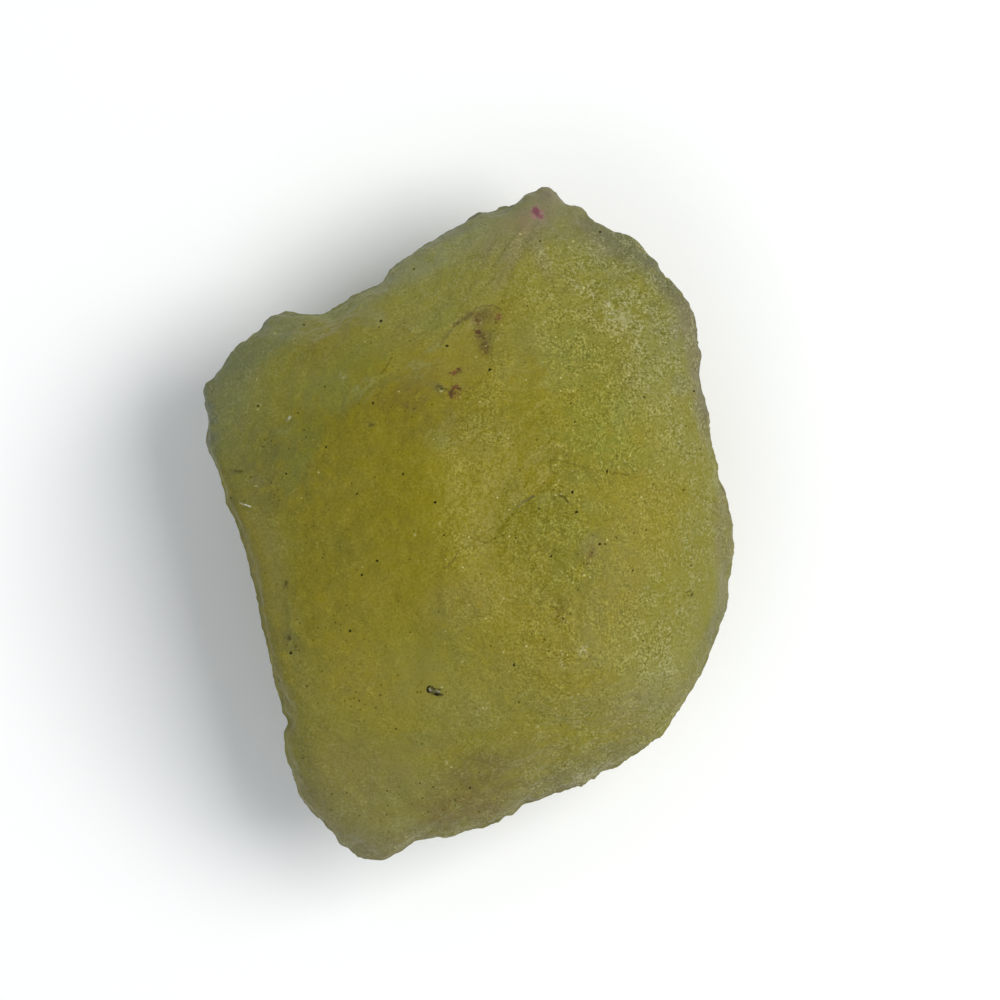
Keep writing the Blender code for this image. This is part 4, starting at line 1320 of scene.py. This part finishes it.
def surface_dirt_and_glints(finish, place, mottle, frost):
    """What lies on the skin, from pits to marks, and painted glints: how much of the stone it hides, and
    its colour.
    """
    pits, painted_glints = specks(finish, place, frost)
    grain = finish.noise(place, FLECK_GRAIN)
    hidden, colour = pits, DARK_COLOUR
    flecked = finish.attribute("fleck", "Alpha") * finish.shows(grain + mottle * FLECK_MOTTLE, FLECK_LAYER)
    stained, stain_colour = small_marks(finish, place, "stain")
    marked, mark_colour = small_marks(finish, place, "mark")
    layers = (
        (painted_glints, GLINT_COLOUR),
        (flecked, finish.attribute("fleck", "Color")),
        (stained * finish.shows(grain, STAIN_LAYER), stain_colour),
        (marked, mark_colour),
    )
    for share, paint in layers:
        both = 1.0 - (1.0 - hidden) * (1.0 - share)
        colour = finish.blend(share.over(both), colour, paint)
        hidden = both
    return hidden, colour


def stone_finish():
    """Cloudy yellow-green topaz, waxy on smooth breaks and sugary on frosted ones."""
    finish = Finish("topaz")
    metres = finish.node("ShaderNodeTexCoord").outputs["Object"]
    place = finish.vector("MULTIPLY", metres, (1 / MM, 1 / MM, 1 / MM))
    frost = finish.attribute("frost")
    mottle = finish.noise(place, MOTTLE)
    patchy = finish.shows(finish.noise(place, SUGAR_PATCHES), SUGAR_LAYER)
    grain = finish.noise(place, GRAIN)
    coarse = finish.noise(place, COARSE_GRAIN)
    curl = finish.noise(place, CURLS) - NOISE_MIDDLE
    curls = (1.0 - finish.shows(curl * curl, CURL_LINE_LAYER)) * finish.shows(coarse, CURL_PATCH_LAYER)

    roughness = between(frost, ROUGHNESSES) + (mottle - NOISE_MIDDLE) * MOTTLE_ROUGHNESS
    roughness += finish.attribute("rim") * RIM_ROUGHNESS
    height = coarse * between(frost, COARSE_BUMPS) + grain * between(frost, GRAIN_BUMPS)
    height += mottle * MOTTLE_BUMP
    bump = finish.node("ShaderNodeBump", None, {"Strength": 1.0, "Distance": MM, "Height": height})
    stone = finish.node("ShaderNodeBsdfPrincipled", {"subsurface_method": "RANDOM_WALK"}, {
        "Base Color": stone_colour(finish, mottle, patchy, grain, curls, frost),
        "Roughness": roughness,
        "Normal": bump.outputs[0],
        "IOR": STONE_IOR,
        "Specular IOR Level": SURFACE_SHINE,
        "Subsurface Weight": CLOUD_SHARE,
        "Subsurface Radius": CLOUD_RADIUS,
        "Subsurface Scale": CLOUD_SCALE,
        "Transmission Weight": SEE_THROUGH,
    })

    hidden, dirt_and_glint_colour = surface_dirt_and_glints(finish, place, mottle, frost)
    dirt_and_glints = finish.node("ShaderNodeBsdfPrincipled", None, {
        "Base Color": dirt_and_glint_colour,
        "Roughness": MATT,
        "Specular IOR Level": MATT_SHINE,
    })
    both = finish.node("ShaderNodeMixShader", None, {
        0: hidden,
        1: stone.outputs[0],
        2: dirt_and_glints.outputs[0],
    })
    inside = finish.node("ShaderNodeVolumeAbsorption", None, {
        "Color": ABSORB_COLOUR,
        "Density": ABSORB_DENSITY,
    })
    finish.node("ShaderNodeOutputMaterial", None, {
        "Surface": both.outputs[0],
        "Volume": inside.outputs[0],
    })
    return finish.material


def floor_finish():
    """Plain pale matt floor."""
    finish = Finish("pale_floor")
    shader = finish.node("ShaderNodeBsdfPrincipled", None, {
        "Base Color": FLOOR_COLOUR,
        "Roughness": MATT,
        "Specular IOR Level": MATT_SHINE,
    })
    finish.node("ShaderNodeOutputMaterial", None, {"Surface": shader.outputs[0]})
    return finish.material


def make_floor():
    """The pale floor that the stone rests on."""
    shape = bmesh.new()
    bmesh.ops.create_grid(shape, x_segments=1, y_segments=1, size=FLOOR_HALF_SIDE)
    mesh = bpy.data.meshes.new("floor")
    shape.to_mesh(mesh)
    shape.free()
    mesh.materials.append(floor_finish())
    floor = bpy.data.objects.new("floor", mesh)
    bpy.context.scene.collection.objects.link(floor)


def make_lights():
    """Soft boxes round the stone."""
    for box in SOFT_BOXES:
        light = bpy.data.lights.new(box.name, "AREA")
        light.shape = "SQUARE"
        light.size = box.side
        light.energy = box.power
        light.color = box.colour
        lamp = bpy.data.objects.new(box.name, light)
        around, up = math.radians(box.around), math.radians(box.up)
        level = math.cos(up)
        away = Vector((math.cos(around) * level, math.sin(around) * level, math.sin(up)))
        lamp.location = HEART + away * box.distance
        lamp.rotation_euler = away.to_track_quat("Z", "Y").to_euler()
        bpy.context.scene.collection.objects.link(lamp)


def make_sky():
    """A pale even sky, brighter where the camera sees it."""
    world = bpy.data.worlds.new("sky")
    world.use_nodes = True
    nodes, links = world.node_tree.nodes, world.node_tree.links
    background = nodes["Background"]
    background.inputs["Color"].default_value = SKY_COLOUR
    background.inputs["Strength"].default_value = SKY_STRENGTH
    backdrop = nodes.new("ShaderNodeBackground")
    backdrop.inputs["Color"].default_value = BACKDROP_COLOUR
    backdrop.inputs["Strength"].default_value = BACKDROP_STRENGTH
    rays = nodes.new("ShaderNodeLightPath")
    mix = nodes.new("ShaderNodeMixShader")
    links.new(rays.outputs["Is Camera Ray"], mix.inputs[0])
    links.new(background.outputs[0], mix.inputs[1])
    links.new(backdrop.outputs[0], mix.inputs[2])
    links.new(mix.outputs[0], nodes["World Output"].inputs["Surface"])
    bpy.context.scene.world = world


def make_camera():
    """A camera straight above, which sees the stone as the photograph does."""
    data = bpy.data.cameras.new("camera")
    data.sensor_width = SENSOR_WIDTH
    data.lens = SENSOR_WIDTH * CAMERA_DISTANCE / (PICTURE_SIDE * PIXEL)
    data.clip_start, data.clip_end = CAMERA_SEES
    camera = bpy.data.objects.new("camera", data)
    camera.location = AIM + Vector((0.0, 0.0, CAMERA_DISTANCE))
    bpy.context.scene.collection.objects.link(camera)
    bpy.context.scene.camera = camera


def set_render_light():
    """Plain colours, and no more bounces of light than the cloudy stone needs."""
    scene = bpy.context.scene
    scene.view_settings.view_transform = "Standard"
    scene.cycles.max_bounces = LIGHT_BOUNCES
    scene.cycles.transmission_bounces = LIGHT_BOUNCES


stone = make_stone()
stone.data.materials.append(stone_finish())
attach(stone, "root")
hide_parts("topaz")
make_floor()
make_lights()
make_sky()
make_camera()
set_render_light()
